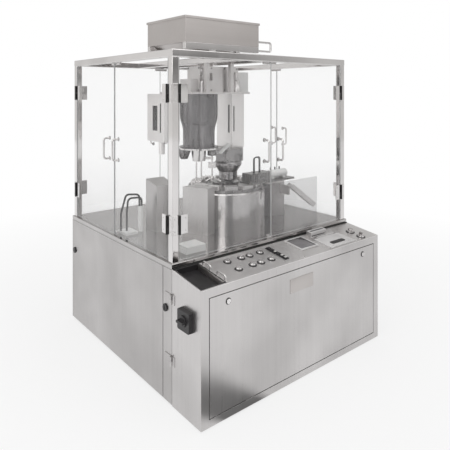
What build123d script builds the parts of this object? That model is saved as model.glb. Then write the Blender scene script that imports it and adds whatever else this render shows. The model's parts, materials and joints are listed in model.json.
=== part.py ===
from build123d import *
import os
from math import atan2, cos, degrees, hypot, radians, sin, tan

os.makedirs("parts", exist_ok=True)

# A capsule filling machine: a cabinet with a sloping console in front, a ground deck, a square-tube
# enclosure with clear doors on its four sides, and the filling turret with its stations inside.
# Millimetres, X to the right along the console, Y to the rear, Z up. The pieces are drawn about the
# middle of the cabinet's footprint, and kept about the middle of the whole outline, on the floor.

# Overall sizes
machine_width = 1420.0
base_depth = 1277.0
console_depth = 248.0
deck_top = 720.0
deck_thickness = 25.0
enclosure_top = 1810.0
floor_gap = 10.0

# Sheet metal and tube
sheet = 3.0
fold = 16.0
panel_gap = 2.0
frame_tube = 50.0
frame_bottom = 40.0
post_tube = 40.0
post_inset = 9.0
tube_corner = 4.0
seat_gap = 0.3

# Levelling feet
foot_pad_radius = 38.0
foot_pad_height = 14.0
foot_stud_radius = 9.0
foot_inset = 60.0

# Console desk
desk_front_height = 664.0
desk_rear_height = 696.0
desk_sheet = 3.0
console_border = 51.0
front_panel_low = 50.0
front_panel_head = 48.0
front_panel_gap = 4.0
front_panel_fold = 15.0

# Clear doors
door_thickness = 8.0
door_gap = 3.0
door_low = 728.0
door_head_gap = 4.0
side_seam_shift = 16.0
handle_centres = 125.0
handle_low = 1182.0
handle_from_seam = 58.0
handle_reach = 40.0
handle_radius = 6.0
handle_rose_radius = 10.0
handle_rose_height = 3.0
handle_bend = 14.0
hinge_height = 97.0
hinge_low_levels = (861.0, 1535.0)
hinge_leaf = 3.0
hinge_leaf_on_post = 36.0
hinge_leaf_on_door = 52.0
knuckle_radius = 6.0
knuckle_standoff = 7.0
hinge_pin_radius = 3.0
hinge_clearance = 0.3
catch_length = 100.0
catch_depth = 16.0
catch_height = 15.0

# Locks in the base panels
lock_height = 487.0
lock_face_radius = 20.0
lock_face_height = 7.0
lock_barrel_radius = 11.0
lock_clearance = 0.5
lock_tongue_half = 8.0
lock_tongue_thickness = 3.0
lock_reach = 20.5
lock_depth = 6.0
corner_door_width = 81.0
corner_door_gap = 5.0
corner_lock_inset = 23.5
side_lock_inset = 43.5
jamb_thickness = 3.0
jamb_width = 5.0
pivot_setback = 7.5
pivot_inset = 6.5
pivot_radius = 4.0

# Main switch on the left side of the console
switch_y = -650.0
switch_z = 492.0
switch_size = 100.0
switch_depth = 25.0
switch_knob_height = 24.0

# Roof tray
tray_left = -403.0
tray_right = 191.0
tray_front = -191.0
tray_rear = 250.0
tray_low = 1890.0
tray_high = 2049.0
tray_sheet = 4.0
tray_floor_band = 34.0
outlet_width = 80.0
outlet_depth = 60.0
outlet_x = -90.0
outlet_y = 30.0
beam_positions = (-190.0, 10.0)
cradle_height = 40.0
cradle_width = 30.0

# Feeding head and magazines under the roof
carrier_low = 1577.0
carrier_thickness = 12.0
carrier_left = -312.0
carrier_right = 160.0
carrier_front = -138.0
carrier_rear = 245.0
head_left = -215.0
head_right = 105.0
head_front = -80.0
head_rear = 60.0
head_high = 1756.0
bell_x = 68.0
bell_y = -108.0
bell_radius = 26.0
bell_neck_radius = 15.0
bell_height = 132.0

# Powder hopper and its outlet, on one upright axis
powder_x = -166.0
powder_y = 0.0
powder_wall = 4.0
powder_radius = 124.0
powder_shoulder = 1440.0
powder_throat_radius = 104.0
powder_throat = 1330.0
powder_flange_radius = 126.0
powder_low = 1229.0
cup_radius = 43.0
cup_low = 1140.0

# Turret
turret_x = 60.0
turret_y = 0.0
turret_radius = 270.0
turret_high = 945.0
turntable_radius = 252.0
turntable_low = 946.0
turntable_thickness = 16.0
segment_count = 12
segment_radius = 205.0
segment_width = 84.0
segment_depth = 62.0
segment_height = 22.0
capsule_bore_radius = 4.0
turret_shaft_radius = 32.0
turret_shaft_low = 606.0

# Drive under the deck
cross_offset = 160.0
drive_height = 300.0
bed_thickness = 12.0
cam_shaft_radius = 20.0
cam_radius = 62.0
cam_lift = 14.0
cam_thickness = 22.0
cam_places = (-230.0, -160.0, 260.0, 340.0)
pedestal_places = (-280.0, 430.0)
shaft_clearance = 0.3
gearbox_half_x = 120.0
gearbox_half_y = 118.0
gearbox_low = 200.0
motor_radius = 82.0

# Stirrer in the powder hopper and the plunger head under it
stirrer_radius = 8.0
paddle_reach = 64.0
plunger_rod_radius = 5.0
plunger_spread = 20.0
plunger_low = 1001.0

# Capsule loading drum under the right magazine
drum_x = 34.0
drum_y = -58.0
drum_radius = 92.0
drum_low = 1004.0
drum_high = 1128.0
loader_high = 1214.0

# Filling block on its bridge plate, and the discharge chute
housing_high = 1004.0
bridge_low = 985.0
bridge_thickness = 12.0
chute_width = 72.0
chute_wall = 3.0
chute_side = 30.0

# Figures worked out from the above
half_width = machine_width / 2
front_y = -(base_depth + console_depth) / 2
rear_y = -front_y
seam_y = front_y + console_depth
deck_low = deck_top - deck_thickness
frame_half_x = half_width - sheet - fold - panel_gap
frame_front_y = seam_y + panel_gap + 2.0
frame_rear_y = rear_y - sheet - fold
posts_x = half_width - post_inset
posts_front_y = seam_y + post_inset
posts_rear_y = rear_y - post_inset
posts_mid_y = (posts_front_y + posts_rear_y) / 2
corner_door_edge = seam_y + corner_door_width
side_panel_edge = corner_door_edge + corner_door_gap
corner_lock_y = corner_door_edge - corner_lock_inset
side_lock_y = rear_y - side_lock_inset
front_panel_high = desk_front_height - front_panel_head
rail_low = enclosure_top - post_tube
door_high = rail_low - door_head_gap
desk_angle = degrees(atan2(desk_rear_height - desk_front_height, console_depth - panel_gap))
desk_length = hypot(desk_rear_height - desk_front_height, console_depth - panel_gap)
desk_plane = Plane(
    origin=(0, front_y, desk_front_height),
    x_dir=(1, 0, 0),
    z_dir=(0, -sin(radians(desk_angle)), cos(radians(desk_angle))),
)
outline_left = -half_width - switch_depth - switch_knob_height
outline_right = posts_x + handle_reach + handle_radius
outline_rear = posts_rear_y + handle_reach + handle_radius
origin_shift_x = -(outline_left + outline_right) / 2
origin_shift_y = -(front_y + outline_rear) / 2


def keep(part, name):
    """Move a finished piece to the row's origin, label it and write it out under its own name."""
    placed = part.moved(Location((origin_shift_x, origin_shift_y, 0)))
    placed.label = name
    export_step(placed, f"parts/{name}.step")


def block(x_range, y_range, z_range, mode=Mode.ADD):
    """A box between two corners, in the builder that is open."""
    sizes = [high - low for low, high in (x_range, y_range, z_range)]
    middle = [(low + high) / 2 for low, high in (x_range, y_range, z_range)]
    with Locations(tuple(middle)):
        Box(*sizes, mode=mode)


def rod(centre, radius, low, high, mode=Mode.ADD):
    """An upright round bar."""
    with BuildSketch(Plane.XY.offset(low)) as outline:
        with Locations(centre):
            Circle(radius)
    extrude(outline.sketch, amount=high - low, mode=mode)


def folded_sheet(plane, width, height, depth, centre=(0, 0)):
    """A sheet with its four edges folded back along the plane's normal."""
    with BuildSketch(plane) as outline:
        with Locations(centre):
            Rectangle(width, height)
    extrude(outline.sketch, amount=sheet + depth)
    with BuildSketch(plane.offset(sheet)) as hollow:
        with Locations(centre):
            Rectangle(width - 2 * sheet, height - 2 * sheet)
    extrude(hollow.sketch, amount=depth, mode=Mode.SUBTRACT)


def bent_tube(points, radius, bend):
    """A round tube or bar along straight runs joined by bends."""
    with BuildLine() as route:
        FilletPolyline(*points, radius=bend)
    with BuildSketch(Plane(origin=route.line @ 0, z_dir=route.line % 0)) as section:
        Circle(radius)
    sweep(section.sketch, path=route.line)


# Welded base frame of square tube, with the two jambs and the pivot brackets of the left side
with BuildPart() as base_frame:
    post_centre_x = frame_half_x - frame_tube / 2
    post_front = frame_front_y + frame_tube / 2
    post_rear = frame_rear_y - frame_tube / 2
    with BuildSketch(Plane.XY.offset(frame_bottom)):
        for y in (post_front, post_rear):
            for x in (-post_centre_x, post_centre_x):
                with Locations((x, y)):
                    Rectangle(frame_tube, frame_tube)
    extrude(amount=deck_low - frame_bottom)
    for level in (frame_bottom, deck_low - frame_tube):
        with BuildSketch(Plane.XY.offset(level)):
            with Locations((0, (frame_front_y + frame_rear_y) / 2)):
                Rectangle(2 * frame_half_x, frame_rear_y - frame_front_y)
                Rectangle(
                    2 * (frame_half_x - frame_tube),
                    frame_rear_y - frame_front_y - 2 * frame_tube,
                    mode=Mode.SUBTRACT,
                )
            with Locations((0, turret_y - cross_offset), (0, turret_y + cross_offset)):
                Rectangle(2 * frame_half_x - frame_tube, frame_tube)
        extrude(amount=frame_tube)
    jamb_out = -(half_width - sheet - 1.5)
    jamb_in = jamb_out + jamb_thickness
    for jamb_front in (corner_door_edge - 7.5, side_lock_y + 12.0):
        jamb_y = (jamb_front, jamb_front + jamb_width)
        block((jamb_out, jamb_in), jamb_y, (frame_bottom + 10, deck_low - 10))
        for low in (frame_bottom + 10, deck_low - frame_tube + 5):
            block((jamb_in + seat_gap, -frame_half_x), jamb_y, (low, low + 30))
    pivot_x = -(half_width - sheet - pivot_inset)
    pivot_y = side_panel_edge + pivot_setback
    panel_low = floor_gap + 4.0
    panel_high = deck_low - panel_gap
    bracket_x = (pivot_x - pivot_radius, -frame_half_x)
    bracket_y = (pivot_y - pivot_radius, pivot_y + 8.0)
    block(bracket_x, bracket_y, (panel_low + sheet + seat_gap, frame_bottom + 20))
    block(bracket_x, bracket_y, (deck_low - 40, panel_high - sheet - seat_gap))
    rod((pivot_x, pivot_y), pivot_radius, panel_low, panel_low + sheet + 2)
    rod((pivot_x, pivot_y), pivot_radius, panel_high - sheet - 2, panel_high)
    for x in (-400.0, 400.0):
        for low in (frame_bottom + 5, deck_low - frame_tube + 5):
            block((x - 40, x + 40), (seam_y - panel_gap, frame_front_y + 1), (low, low + 40))
keep(base_frame.part, "base_frame")

# Four levelling feet under the corners of the base and two under the console's front
with BuildPart() as leveling_feet:
    foot_places = [
        (side * (half_width - foot_inset), y)
        for side in (-1, 1)
        for y in (front_y + foot_inset, frame_front_y + 45, rear_y - foot_inset)
    ]
    for place in foot_places:
        top = floor_gap if place[1] < seam_y else frame_bottom
        with BuildSketch(Plane.XY):
            with Locations(place):
                Circle(foot_pad_radius)
        extrude(amount=min(foot_pad_height, top), taper=8)
        if top > foot_pad_height:
            rod(place, foot_stud_radius, foot_pad_height, top)
keep(leveling_feet.part, "leveling_feet")

# Ground deck plate with the turret's shaft hole
with BuildPart() as deck_plate:
    with BuildSketch(Plane.XY.offset(deck_low)):
        with Locations((0, (seam_y + rear_y) / 2)):
            Rectangle(machine_width, rear_y - seam_y)
        with Locations((turret_x, turret_y)):
            Circle(turret_shaft_radius + 10, mode=Mode.SUBTRACT)
    extrude(amount=deck_thickness)
    chamfer(deck_plate.faces().sort_by(Axis.Z)[-1].outer_wire().edges(), 2.0)
keep(deck_plate.part, "deck_plate")


def cam_lock(centre_y):
    """A black round lock on the left side, its tongue hanging down until it is turned."""
    face_x = -half_width
    with BuildSketch(Plane(origin=(face_x, centre_y, lock_height), z_dir=(-1, 0, 0))) as face:
        Circle(lock_face_radius)
    extrude(face.sketch, amount=lock_face_height, taper=6)
    with BuildSketch(Plane(origin=(face_x, centre_y, lock_height), z_dir=(1, 0, 0))) as barrel:
        Circle(lock_barrel_radius)
    extrude(barrel.sketch, amount=sheet + lock_depth)
    tongue_x = (face_x + sheet + lock_depth, face_x + sheet + lock_depth + lock_tongue_thickness)
    tongue_y = (centre_y - lock_tongue_half, centre_y + lock_tongue_half)
    block(tongue_x, tongue_y, (lock_height - lock_reach, lock_height + lock_tongue_half))
    slot_x = (face_x - lock_face_height, face_x - lock_face_height + 3.0)
    block(slot_x, (centre_y - 2.0, centre_y + 2.0), (lock_height - 12, lock_height + 12), Mode.SUBTRACT)


# Left side panel, hung on two pivots at its front edge and locked at its rear edge
wrap_y = rear_y - sheet - fold
with BuildPart() as left_side_panel:
    panel_span = (side_panel_edge, wrap_y - panel_gap)
    block((-half_width, -half_width + sheet), panel_span, (panel_low, panel_high))
    for level in (panel_low, panel_high - sheet):
        block((-half_width, -half_width + sheet + 8.5), panel_span, (level, level + sheet))
        block((pivot_x - pivot_inset, pivot_x + 6.5), (pivot_y - 6, pivot_y + 12), (level, level + sheet))
        rod((pivot_x, pivot_y), pivot_radius + hinge_clearance, level - 1, level + sheet + 1, Mode.SUBTRACT)
    with BuildSketch(Plane(origin=(-half_width, side_lock_y, lock_height), z_dir=(1, 0, 0))):
        Circle(lock_barrel_radius + lock_clearance)
    extrude(amount=sheet, mode=Mode.SUBTRACT)
keep(left_side_panel.part, "left_side_panel")

with BuildPart() as left_side_lock:
    cam_lock(side_lock_y)
keep(left_side_lock.part, "left_side_lock")

# Narrow corner door between the console and the side panel, on two knuckle hinges
corner_hinge_x = -(half_width + knuckle_radius + 0.5)
corner_hinge_y = seam_y - panel_gap / 2
corner_hinge_levels = (237.0, 547.0)
corner_hinge_half = 24.0
with BuildPart() as left_corner_door:
    corner_span = (seam_y + 0.5, corner_door_edge)
    block((-half_width, -half_width + sheet), corner_span, (panel_low, panel_high))
    for level in (panel_low, panel_high - sheet):
        fold_span = (corner_span[0], corner_door_edge - 3)
        block((-half_width, -half_width + sheet + 10), fold_span, (level, level + sheet))
    for level in corner_hinge_levels:
        leaf_y = (corner_hinge_y + knuckle_radius + 1, corner_hinge_y + 60)
        block((-half_width - 3, -half_width), leaf_y, (level - corner_hinge_half, level + corner_hinge_half))
        arm_y = (corner_hinge_y, corner_hinge_y + knuckle_radius + 1)
        block((-half_width - 5, -half_width - 2), arm_y, (level + 0.5, level + corner_hinge_half))
        rod((corner_hinge_x, corner_hinge_y), knuckle_radius, level + 0.5, level + corner_hinge_half)
        rod(
            (corner_hinge_x, corner_hinge_y),
            hinge_pin_radius + hinge_clearance,
            level,
            level + corner_hinge_half,
            Mode.SUBTRACT,
        )
    with BuildSketch(Plane(origin=(-half_width, corner_lock_y, lock_height), z_dir=(1, 0, 0))):
        Circle(lock_barrel_radius + lock_clearance)
    extrude(amount=sheet, mode=Mode.SUBTRACT)
keep(left_corner_door.part, "left_corner_door")

with BuildPart() as left_corner_lock:
    cam_lock(corner_lock_y)
keep(left_corner_lock.part, "left_corner_lock")

# Right side panel and rear panel, fixed to the frame
with BuildPart() as fixed_panels:
    fixed_span = (seam_y + 0.5, wrap_y - panel_gap)
    folded_sheet(
        Plane(origin=(half_width, 0, 0), x_dir=(0, 1, 0), z_dir=(-1, 0, 0)),
        fixed_span[1] - fixed_span[0],
        panel_high - panel_low,
        half_width - sheet - frame_half_x,
        (sum(fixed_span) / 2, -(panel_low + panel_high) / 2),
    )
    folded_sheet(
        Plane(origin=(0, rear_y, 0), x_dir=(1, 0, 0), z_dir=(0, -1, 0)),
        machine_width,
        panel_high - panel_low,
        fold,
        (0, (panel_low + panel_high) / 2),
    )
keep(fixed_panels.part, "fixed_panels")


def at_desk(x, s, n=0.0):
    """A plane on the desk at x, the distance s from its front edge and the height n above it."""
    return Plane(
        origin=desk_plane.from_local_coords((x, s, n)),
        x_dir=(1, 0, 0),
        z_dir=desk_plane.z_dir,
    )


def desk_block(x_range, s_range, n_range, mode=Mode.ADD):
    """A box square to the sloping desk."""
    middle = (sum(x_range) / 2, sum(s_range) / 2)
    with BuildSketch(at_desk(*middle, n_range[0])) as outline:
        Rectangle(x_range[1] - x_range[0], s_range[1] - s_range[0])
    extrude(outline.sketch, amount=n_range[1] - n_range[0], mode=mode)


# Console shell: bent sheet, open at the top and at the front panel
shell_rear = seam_y - panel_gap
with BuildPart() as console_shell:
    with BuildSketch(Plane.YZ.offset(-half_width)):
        with BuildLine():
            Polyline(
                (front_y, floor_gap),
                (front_y, desk_front_height - desk_sheet),
                (shell_rear, desk_rear_height - desk_sheet),
                (shell_rear, floor_gap),
                close=True,
            )
        make_face()
    extrude(amount=machine_width)
    with BuildSketch(Plane.YZ.offset(-half_width + sheet)):
        with BuildLine():
            Polyline(
                (front_y + sheet, floor_gap + sheet),
                (front_y + sheet, desk_front_height + 1),
                (shell_rear - sheet, desk_rear_height + 1),
                (shell_rear - sheet, floor_gap + sheet),
                close=True,
            )
        make_face()
    extrude(amount=machine_width - 2 * sheet, mode=Mode.SUBTRACT)
    opening_x = half_width - console_border + front_panel_gap
    block(
        (-opening_x, opening_x),
        (front_y - 1, front_y + sheet + 1),
        (front_panel_low - front_panel_gap, front_panel_high + front_panel_gap),
        Mode.SUBTRACT,
    )
    for level in corner_hinge_levels:
        leaf_y = (corner_hinge_y - 26, corner_hinge_y - knuckle_radius - 1)
        block((-half_width - 3, -half_width), leaf_y, (level - corner_hinge_half, level + corner_hinge_half))
        arm_y = (corner_hinge_y - knuckle_radius - 1, corner_hinge_y)
        block((-half_width - 5, -half_width - 2), arm_y, (level - corner_hinge_half, level - 0.5))
        rod((corner_hinge_x, corner_hinge_y), knuckle_radius, level - corner_hinge_half, level - 0.5)
        rod((corner_hinge_x, corner_hinge_y), hinge_pin_radius, level - 1, level + corner_hinge_half - 1)
keep(console_shell.part, "console_shell")

# Front panel of the console, standing on its lower lip and tilting out from the top
with BuildPart() as console_front_panel:
    panel_half = half_width - console_border
    folded_sheet(
        Plane(origin=(0, front_y, 0), x_dir=(-1, 0, 0), z_dir=(0, 1, 0)),
        2 * panel_half,
        front_panel_high - front_panel_low,
        front_panel_fold - sheet,
        (0, (front_panel_low + front_panel_high) / 2),
    )
    for x in (-400.0, 400.0):
        tab_y = (front_y + sheet + seat_gap, front_y + 2 * sheet + seat_gap)
        block((x - 30, x + 30), tab_y, (front_panel_low - 14, front_panel_low + 4))
keep(console_front_panel.part, "console_front_panel")

# Desk plate with its cut-outs, collars, recorder housing and the two pulls beside the tray
black_tray_rim = 5.0
black_tray_depth = 32.0
tray_x = (10.0 - half_width, 154.0 - half_width)
tray_s = (12.0, desk_length - 8.0 - black_tray_depth * tan(radians(desk_angle)))
lid_x = (259.0, 491.0)
lid_s = (14.0, 152.0)
grid_x = (-407.0, -310.0, -249.0, -171.0)
lamp_s = 177.0
button_s = 84.0
button_radius = 12.0
collar_radius = 17.0
collar_height = 6.0
button_clearance = 0.5
stop_x = 583.0
stop_s = 122.0
knob_s = 40.0
recorder_x = (255.0, 400.0)
recorder_s = (176.0, 212.0)
recorder_height = 34.0
lid_hinge_s = lid_s[1] + 5.0
lid_hinge_n = 5.2
lid_pin_radius = 2.0


def lid_knuckle_plane(x):
    """An upright plane across the recorder lid's hinge axis at x."""
    return Plane(
        origin=desk_plane.from_local_coords((x, lid_hinge_s, lid_hinge_n)),
        x_dir=desk_plane.y_dir,
        z_dir=(1, 0, 0),
    )


with BuildPart() as console_desk:
    with BuildSketch(Plane.YZ.offset(-half_width)):
        with BuildLine():
            Polyline(
                (front_y, desk_front_height - desk_sheet),
                (front_y, desk_front_height),
                (shell_rear, desk_rear_height),
                (shell_rear, desk_rear_height - desk_sheet),
                close=True,
            )
        make_face()
    extrude(amount=machine_width)
    desk_block(tray_x, tray_s, (-6, 2), Mode.SUBTRACT)
    desk_block((lid_x[0] + 8, lid_x[1] - 8), (lid_s[0] + 8, lid_s[1] - 8), (-6, 2), Mode.SUBTRACT)
    for x in grid_x:
        for s in (lamp_s, button_s):
            with BuildSketch(at_desk(x, s)):
                Circle(collar_radius)
            extrude(amount=collar_height, taper=8)
    for s in (stop_s, knob_s):
        with BuildSketch(at_desk(stop_x, s)):
            Circle(22.0)
        extrude(amount=8.0, taper=10)
    for x in grid_x:
        with BuildSketch(at_desk(x, button_s, -6)):
            Circle(button_radius + button_clearance)
        extrude(amount=20, mode=Mode.SUBTRACT)
        with BuildSketch(at_desk(x, lamp_s, -6)):
            Circle(button_radius)
        extrude(amount=20, mode=Mode.SUBTRACT)
    for s in (stop_s, knob_s):
        with BuildSketch(at_desk(stop_x, s, -6)):
            Circle(8.0 + button_clearance)
        extrude(amount=20, mode=Mode.SUBTRACT)
    for seam_x in (-6.0, 247.0, 497.0):
        desk_block((seam_x - 0.8, seam_x + 0.8), (4, desk_length - 4), (-1, 1), Mode.SUBTRACT)
    desk_block(recorder_x, recorder_s, (-1, recorder_height))
    paper_slot_x = (recorder_x[0] + 12, recorder_x[1] - 12)
    desk_block(paper_slot_x, (recorder_s[0] - 1, recorder_s[0] + 14), (9, 15), Mode.SUBTRACT)
    for low_s in (28.0, 148.0):
        pull = [
            desk_plane.from_local_coords((-543.0, low_s, -1)),
            desk_plane.from_local_coords((-543.0, low_s, 22)),
            desk_plane.from_local_coords((-543.0, low_s + 62, 22)),
            desk_plane.from_local_coords((-543.0, low_s + 62, -1)),
        ]
        bent_tube(pull, 5.0, 9.0)
    for low_x in (lid_x[0] + 28, lid_x[1] - 39.5):
        desk_block((low_x, low_x + 11.5), (lid_hinge_s - 4, lid_hinge_s + 4), (-1, lid_hinge_n + 4))
    with BuildSketch(lid_knuckle_plane(lid_x[0] + 34)):
        Circle(lid_pin_radius)
    extrude(amount=lid_x[1] - lid_x[0] - 68)
keep(console_desk.part, "console_desk")

# Black tray let into the left end of the desk
with BuildPart() as black_tray:
    rim_x = (tray_x[0] - black_tray_rim, tray_x[1] + black_tray_rim)
    rim_s = (tray_s[0] - black_tray_rim, tray_s[1] + black_tray_rim)
    desk_block(rim_x, rim_s, (0, 1.6))
    outer_x = (tray_x[0] + 0.5, tray_x[1] - 0.5)
    outer_s = (tray_s[0] + 0.5, tray_s[1] - 0.5)
    desk_block(outer_x, outer_s, (-black_tray_depth, 0))
    inner_x = (tray_x[0] + 3, tray_x[1] - 3)
    inner_s = (tray_s[0] + 3, tray_s[1] - 3)
    desk_block(inner_x, inner_s, (2.5 - black_tray_depth, 3), Mode.SUBTRACT)
keep(black_tray.part, "black_tray")

# Four lamps in the rear row
with BuildPart() as indicator_lamps:
    for x in grid_x:
        with BuildSketch(at_desk(x, lamp_s, -14)):
            Circle(button_radius)
        extrude(amount=14 + collar_height)
        with BuildSketch(at_desk(x, lamp_s, collar_height)):
            Circle(button_radius)
        extrude(amount=4, taper=35)
keep(indicator_lamps.part, "indicator_lamps")

# Four push buttons in the front row
for number, x in enumerate(grid_x, start=1):
    with BuildPart() as push_button:
        with BuildSketch(at_desk(x, button_s, -16)):
            Circle(button_radius)
        extrude(amount=16 + collar_height + 5)
        fillet(push_button.edges().filter_by(GeomType.CIRCLE).sort_by(Axis.Z)[-1], 2.0)
    keep(push_button.part, f"push_button_{number}")

# Screen in its raised frame and the strip of keys beside it, both black
screen_x = (66.0, 214.0)
screen_s = (76.0, 220.0)
strip_x = (-106.0, -74.0)
strip_s = (42.0, 204.0)
key_count = 6
with BuildPart() as operator_panel:
    desk_block(screen_x, screen_s, (0, 7))
    glass_x = (screen_x[0] + 12, screen_x[1] - 12)
    glass_s = (screen_s[0] + 12, screen_s[1] - 12)
    desk_block(glass_x, glass_s, (4.5, 8), Mode.SUBTRACT)
    desk_block(strip_x, strip_s, (0, 3))
    key_pitch = (strip_s[1] - strip_s[0]) / key_count
    for index in range(key_count):
        key_low = strip_s[0] + index * key_pitch + 3
        with BuildSketch(at_desk(sum(strip_x) / 2, key_low + (key_pitch - 6) / 2, 3)):
            Rectangle(24, key_pitch - 6)
        extrude(amount=5, taper=14)
keep(operator_panel.part, "operator_panel")

# Hinged lid over the recorder, with an oval finger pull
with BuildPart() as recorder_lid:
    desk_block(lid_x, lid_s, (seat_gap, 2.8))
    with BuildSketch(at_desk(sum(lid_x) / 2, lid_s[0] + 46, 2.8)):
        SlotOverall(84, 26)
    extrude(amount=-1.6, mode=Mode.SUBTRACT)
    desk_block((lid_x[0] + 40, lid_x[1] - 40), (lid_s[1] - 2, lid_hinge_s), (seat_gap + 1, 2.8))
    with BuildSketch(lid_knuckle_plane(lid_x[0] + 40)):
        Circle(4.0)
    extrude(amount=lid_x[1] - lid_x[0] - 80)
    with BuildSketch(lid_knuckle_plane(lid_x[0] + 39)):
        Circle(lid_pin_radius + hinge_clearance)
    extrude(amount=lid_x[1] - lid_x[0] - 78, mode=Mode.SUBTRACT)
keep(recorder_lid.part, "recorder_lid")

# Mushroom stop button and selector knob at the right end
with BuildPart() as emergency_stop:
    with BuildSketch(at_desk(stop_x, stop_s, -18)):
        Circle(8.0)
    extrude(amount=18 + 16)
    with BuildSketch(at_desk(stop_x, stop_s, 15)):
        Circle(17.0)
    extrude(amount=9, taper=12)
    fillet(emergency_stop.edges().filter_by(GeomType.CIRCLE).sort_by(Axis.Z)[-1], 4.0)
keep(emergency_stop.part, "emergency_stop")

with BuildPart() as selector_knob:
    with BuildSketch(at_desk(stop_x, knob_s, -18)):
        Circle(8.0)
    extrude(amount=18 + 9)
    with BuildSketch(at_desk(stop_x, knob_s, 8.4)):
        Circle(15.0)
    extrude(amount=8, taper=6)
    with BuildSketch(at_desk(stop_x, knob_s, 16)):
        Rectangle(8, 27)
    extrude(amount=12, taper=4)
keep(selector_knob.part, "selector_knob")

# Main switch on the left side of the console
switch_plane = Plane(origin=(-half_width, switch_y, switch_z), x_dir=(0, -1, 0), z_dir=(-1, 0, 0))
with BuildPart() as main_switch_box:
    with BuildSketch(switch_plane):
        RectangleRounded(switch_size, switch_size, 8)
    extrude(amount=switch_depth, taper=3)
    with BuildSketch(switch_plane.offset(switch_depth)):
        Circle(9.0)
    extrude(amount=-15, mode=Mode.SUBTRACT)
keep(main_switch_box.part, "main_switch_box")

with BuildPart() as main_switch_handle:
    with BuildSketch(switch_plane.offset(switch_depth + seat_gap)):
        Circle(28.0)
    extrude(amount=6, taper=8)
    with BuildSketch(switch_plane.offset(switch_depth + 6)):
        RectangleRounded(54, 15, 6)
    extrude(amount=switch_knob_height - 6, taper=4)
    with BuildSketch(switch_plane.offset(switch_depth - 14)):
        Circle(8.5)
    extrude(amount=16)
keep(main_switch_handle.part, "main_switch_handle")


# Enclosure sides: outward direction, middle of the outer face, clear width and place of the seam
clear_x = 2 * (posts_x - post_tube)
clear_y = posts_rear_y - posts_front_y - 2 * post_tube
sides = {
    "front": ((0, -1, 0), (0, posts_front_y, 0), clear_x, 0.0),
    "left": ((-1, 0, 0), (-posts_x, posts_mid_y, 0), clear_y, -side_seam_shift),
    "right": ((1, 0, 0), (posts_x, posts_mid_y, 0), clear_y, side_seam_shift),
    "rear": ((0, 1, 0), (0, posts_rear_y, 0), clear_x, 0.0),
}
leaves = {
    "front_left": ("front", -1),
    "front_right": ("front", 1),
    "left_rear": ("left", -1),
    "left_front": ("left", 1),
    "right_front": ("right", -1),
    "right_rear": ("right", 1),
    "rear_right": ("rear", -1),
    "rear_left": ("rear", 1),
}


def side_plane(side):
    """The outer face of one side: x runs level, y runs up and z points out."""
    outward, middle, _, _ = sides[side]
    return Plane(origin=middle, x_dir=Vector(0, 0, 1).cross(Vector(*outward)), z_dir=outward)


def leaf_edges(leaf):
    """Where a leaf's hinge edge and seam edge lie along its side, and which way it runs."""
    side, end = leaves[leaf]
    _, _, clear, seam = sides[side]
    hinge = end * clear / 2
    return side_plane(side), hinge, seam, -end


def face_box(plane, x_range, z_range, n_range, mode=Mode.ADD):
    """A box against an enclosure side, n counted outwards from its face."""
    x_low, x_high = sorted(x_range)
    with BuildSketch(plane.offset(n_range[0])) as outline:
        with Locations(((x_low + x_high) / 2, sum(z_range) / 2)):
            Rectangle(x_high - x_low, z_range[1] - z_range[0])
    extrude(outline.sketch, amount=n_range[1] - n_range[0], mode=mode)


def knuckle_place(plane, axis):
    """The upright hinge axis as a point in plan."""
    point = plane.from_local_coords((axis, 0, knuckle_standoff))
    return (point.X, point.Y)


def hinge_leaf_part(plane, hinge, way, low, moving):
    """One half of a door hinge: its leaf, its knuckle, and the pin or the bore."""
    axis = hinge + way * door_gap / 2
    middle = low + hinge_height / 2
    high = low + hinge_height
    place = knuckle_place(plane, axis)
    reach = knuckle_radius + 1.0
    if moving:
        face_box(plane, (axis + way * reach, axis + way * hinge_leaf_on_door), (low, high), (0, hinge_leaf))
        face_box(plane, (axis + way * 0.5, axis + way * reach), (middle + 0.5, high), (1.2, hinge_leaf))
        rod(place, knuckle_radius, middle + 0.5, high)
        rod(place, hinge_pin_radius + hinge_clearance, middle, high + 1, Mode.SUBTRACT)
    else:
        face_box(plane, (axis - way * reach, axis - way * hinge_leaf_on_post), (low, high), (0, hinge_leaf))
        face_box(plane, (axis - way * 0.5, axis - way * reach), (low, middle - 0.5), (1.2, hinge_leaf))
        rod(place, knuckle_radius, low, middle - 0.5)
        rod(place, hinge_pin_radius, middle - 1, high)


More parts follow.
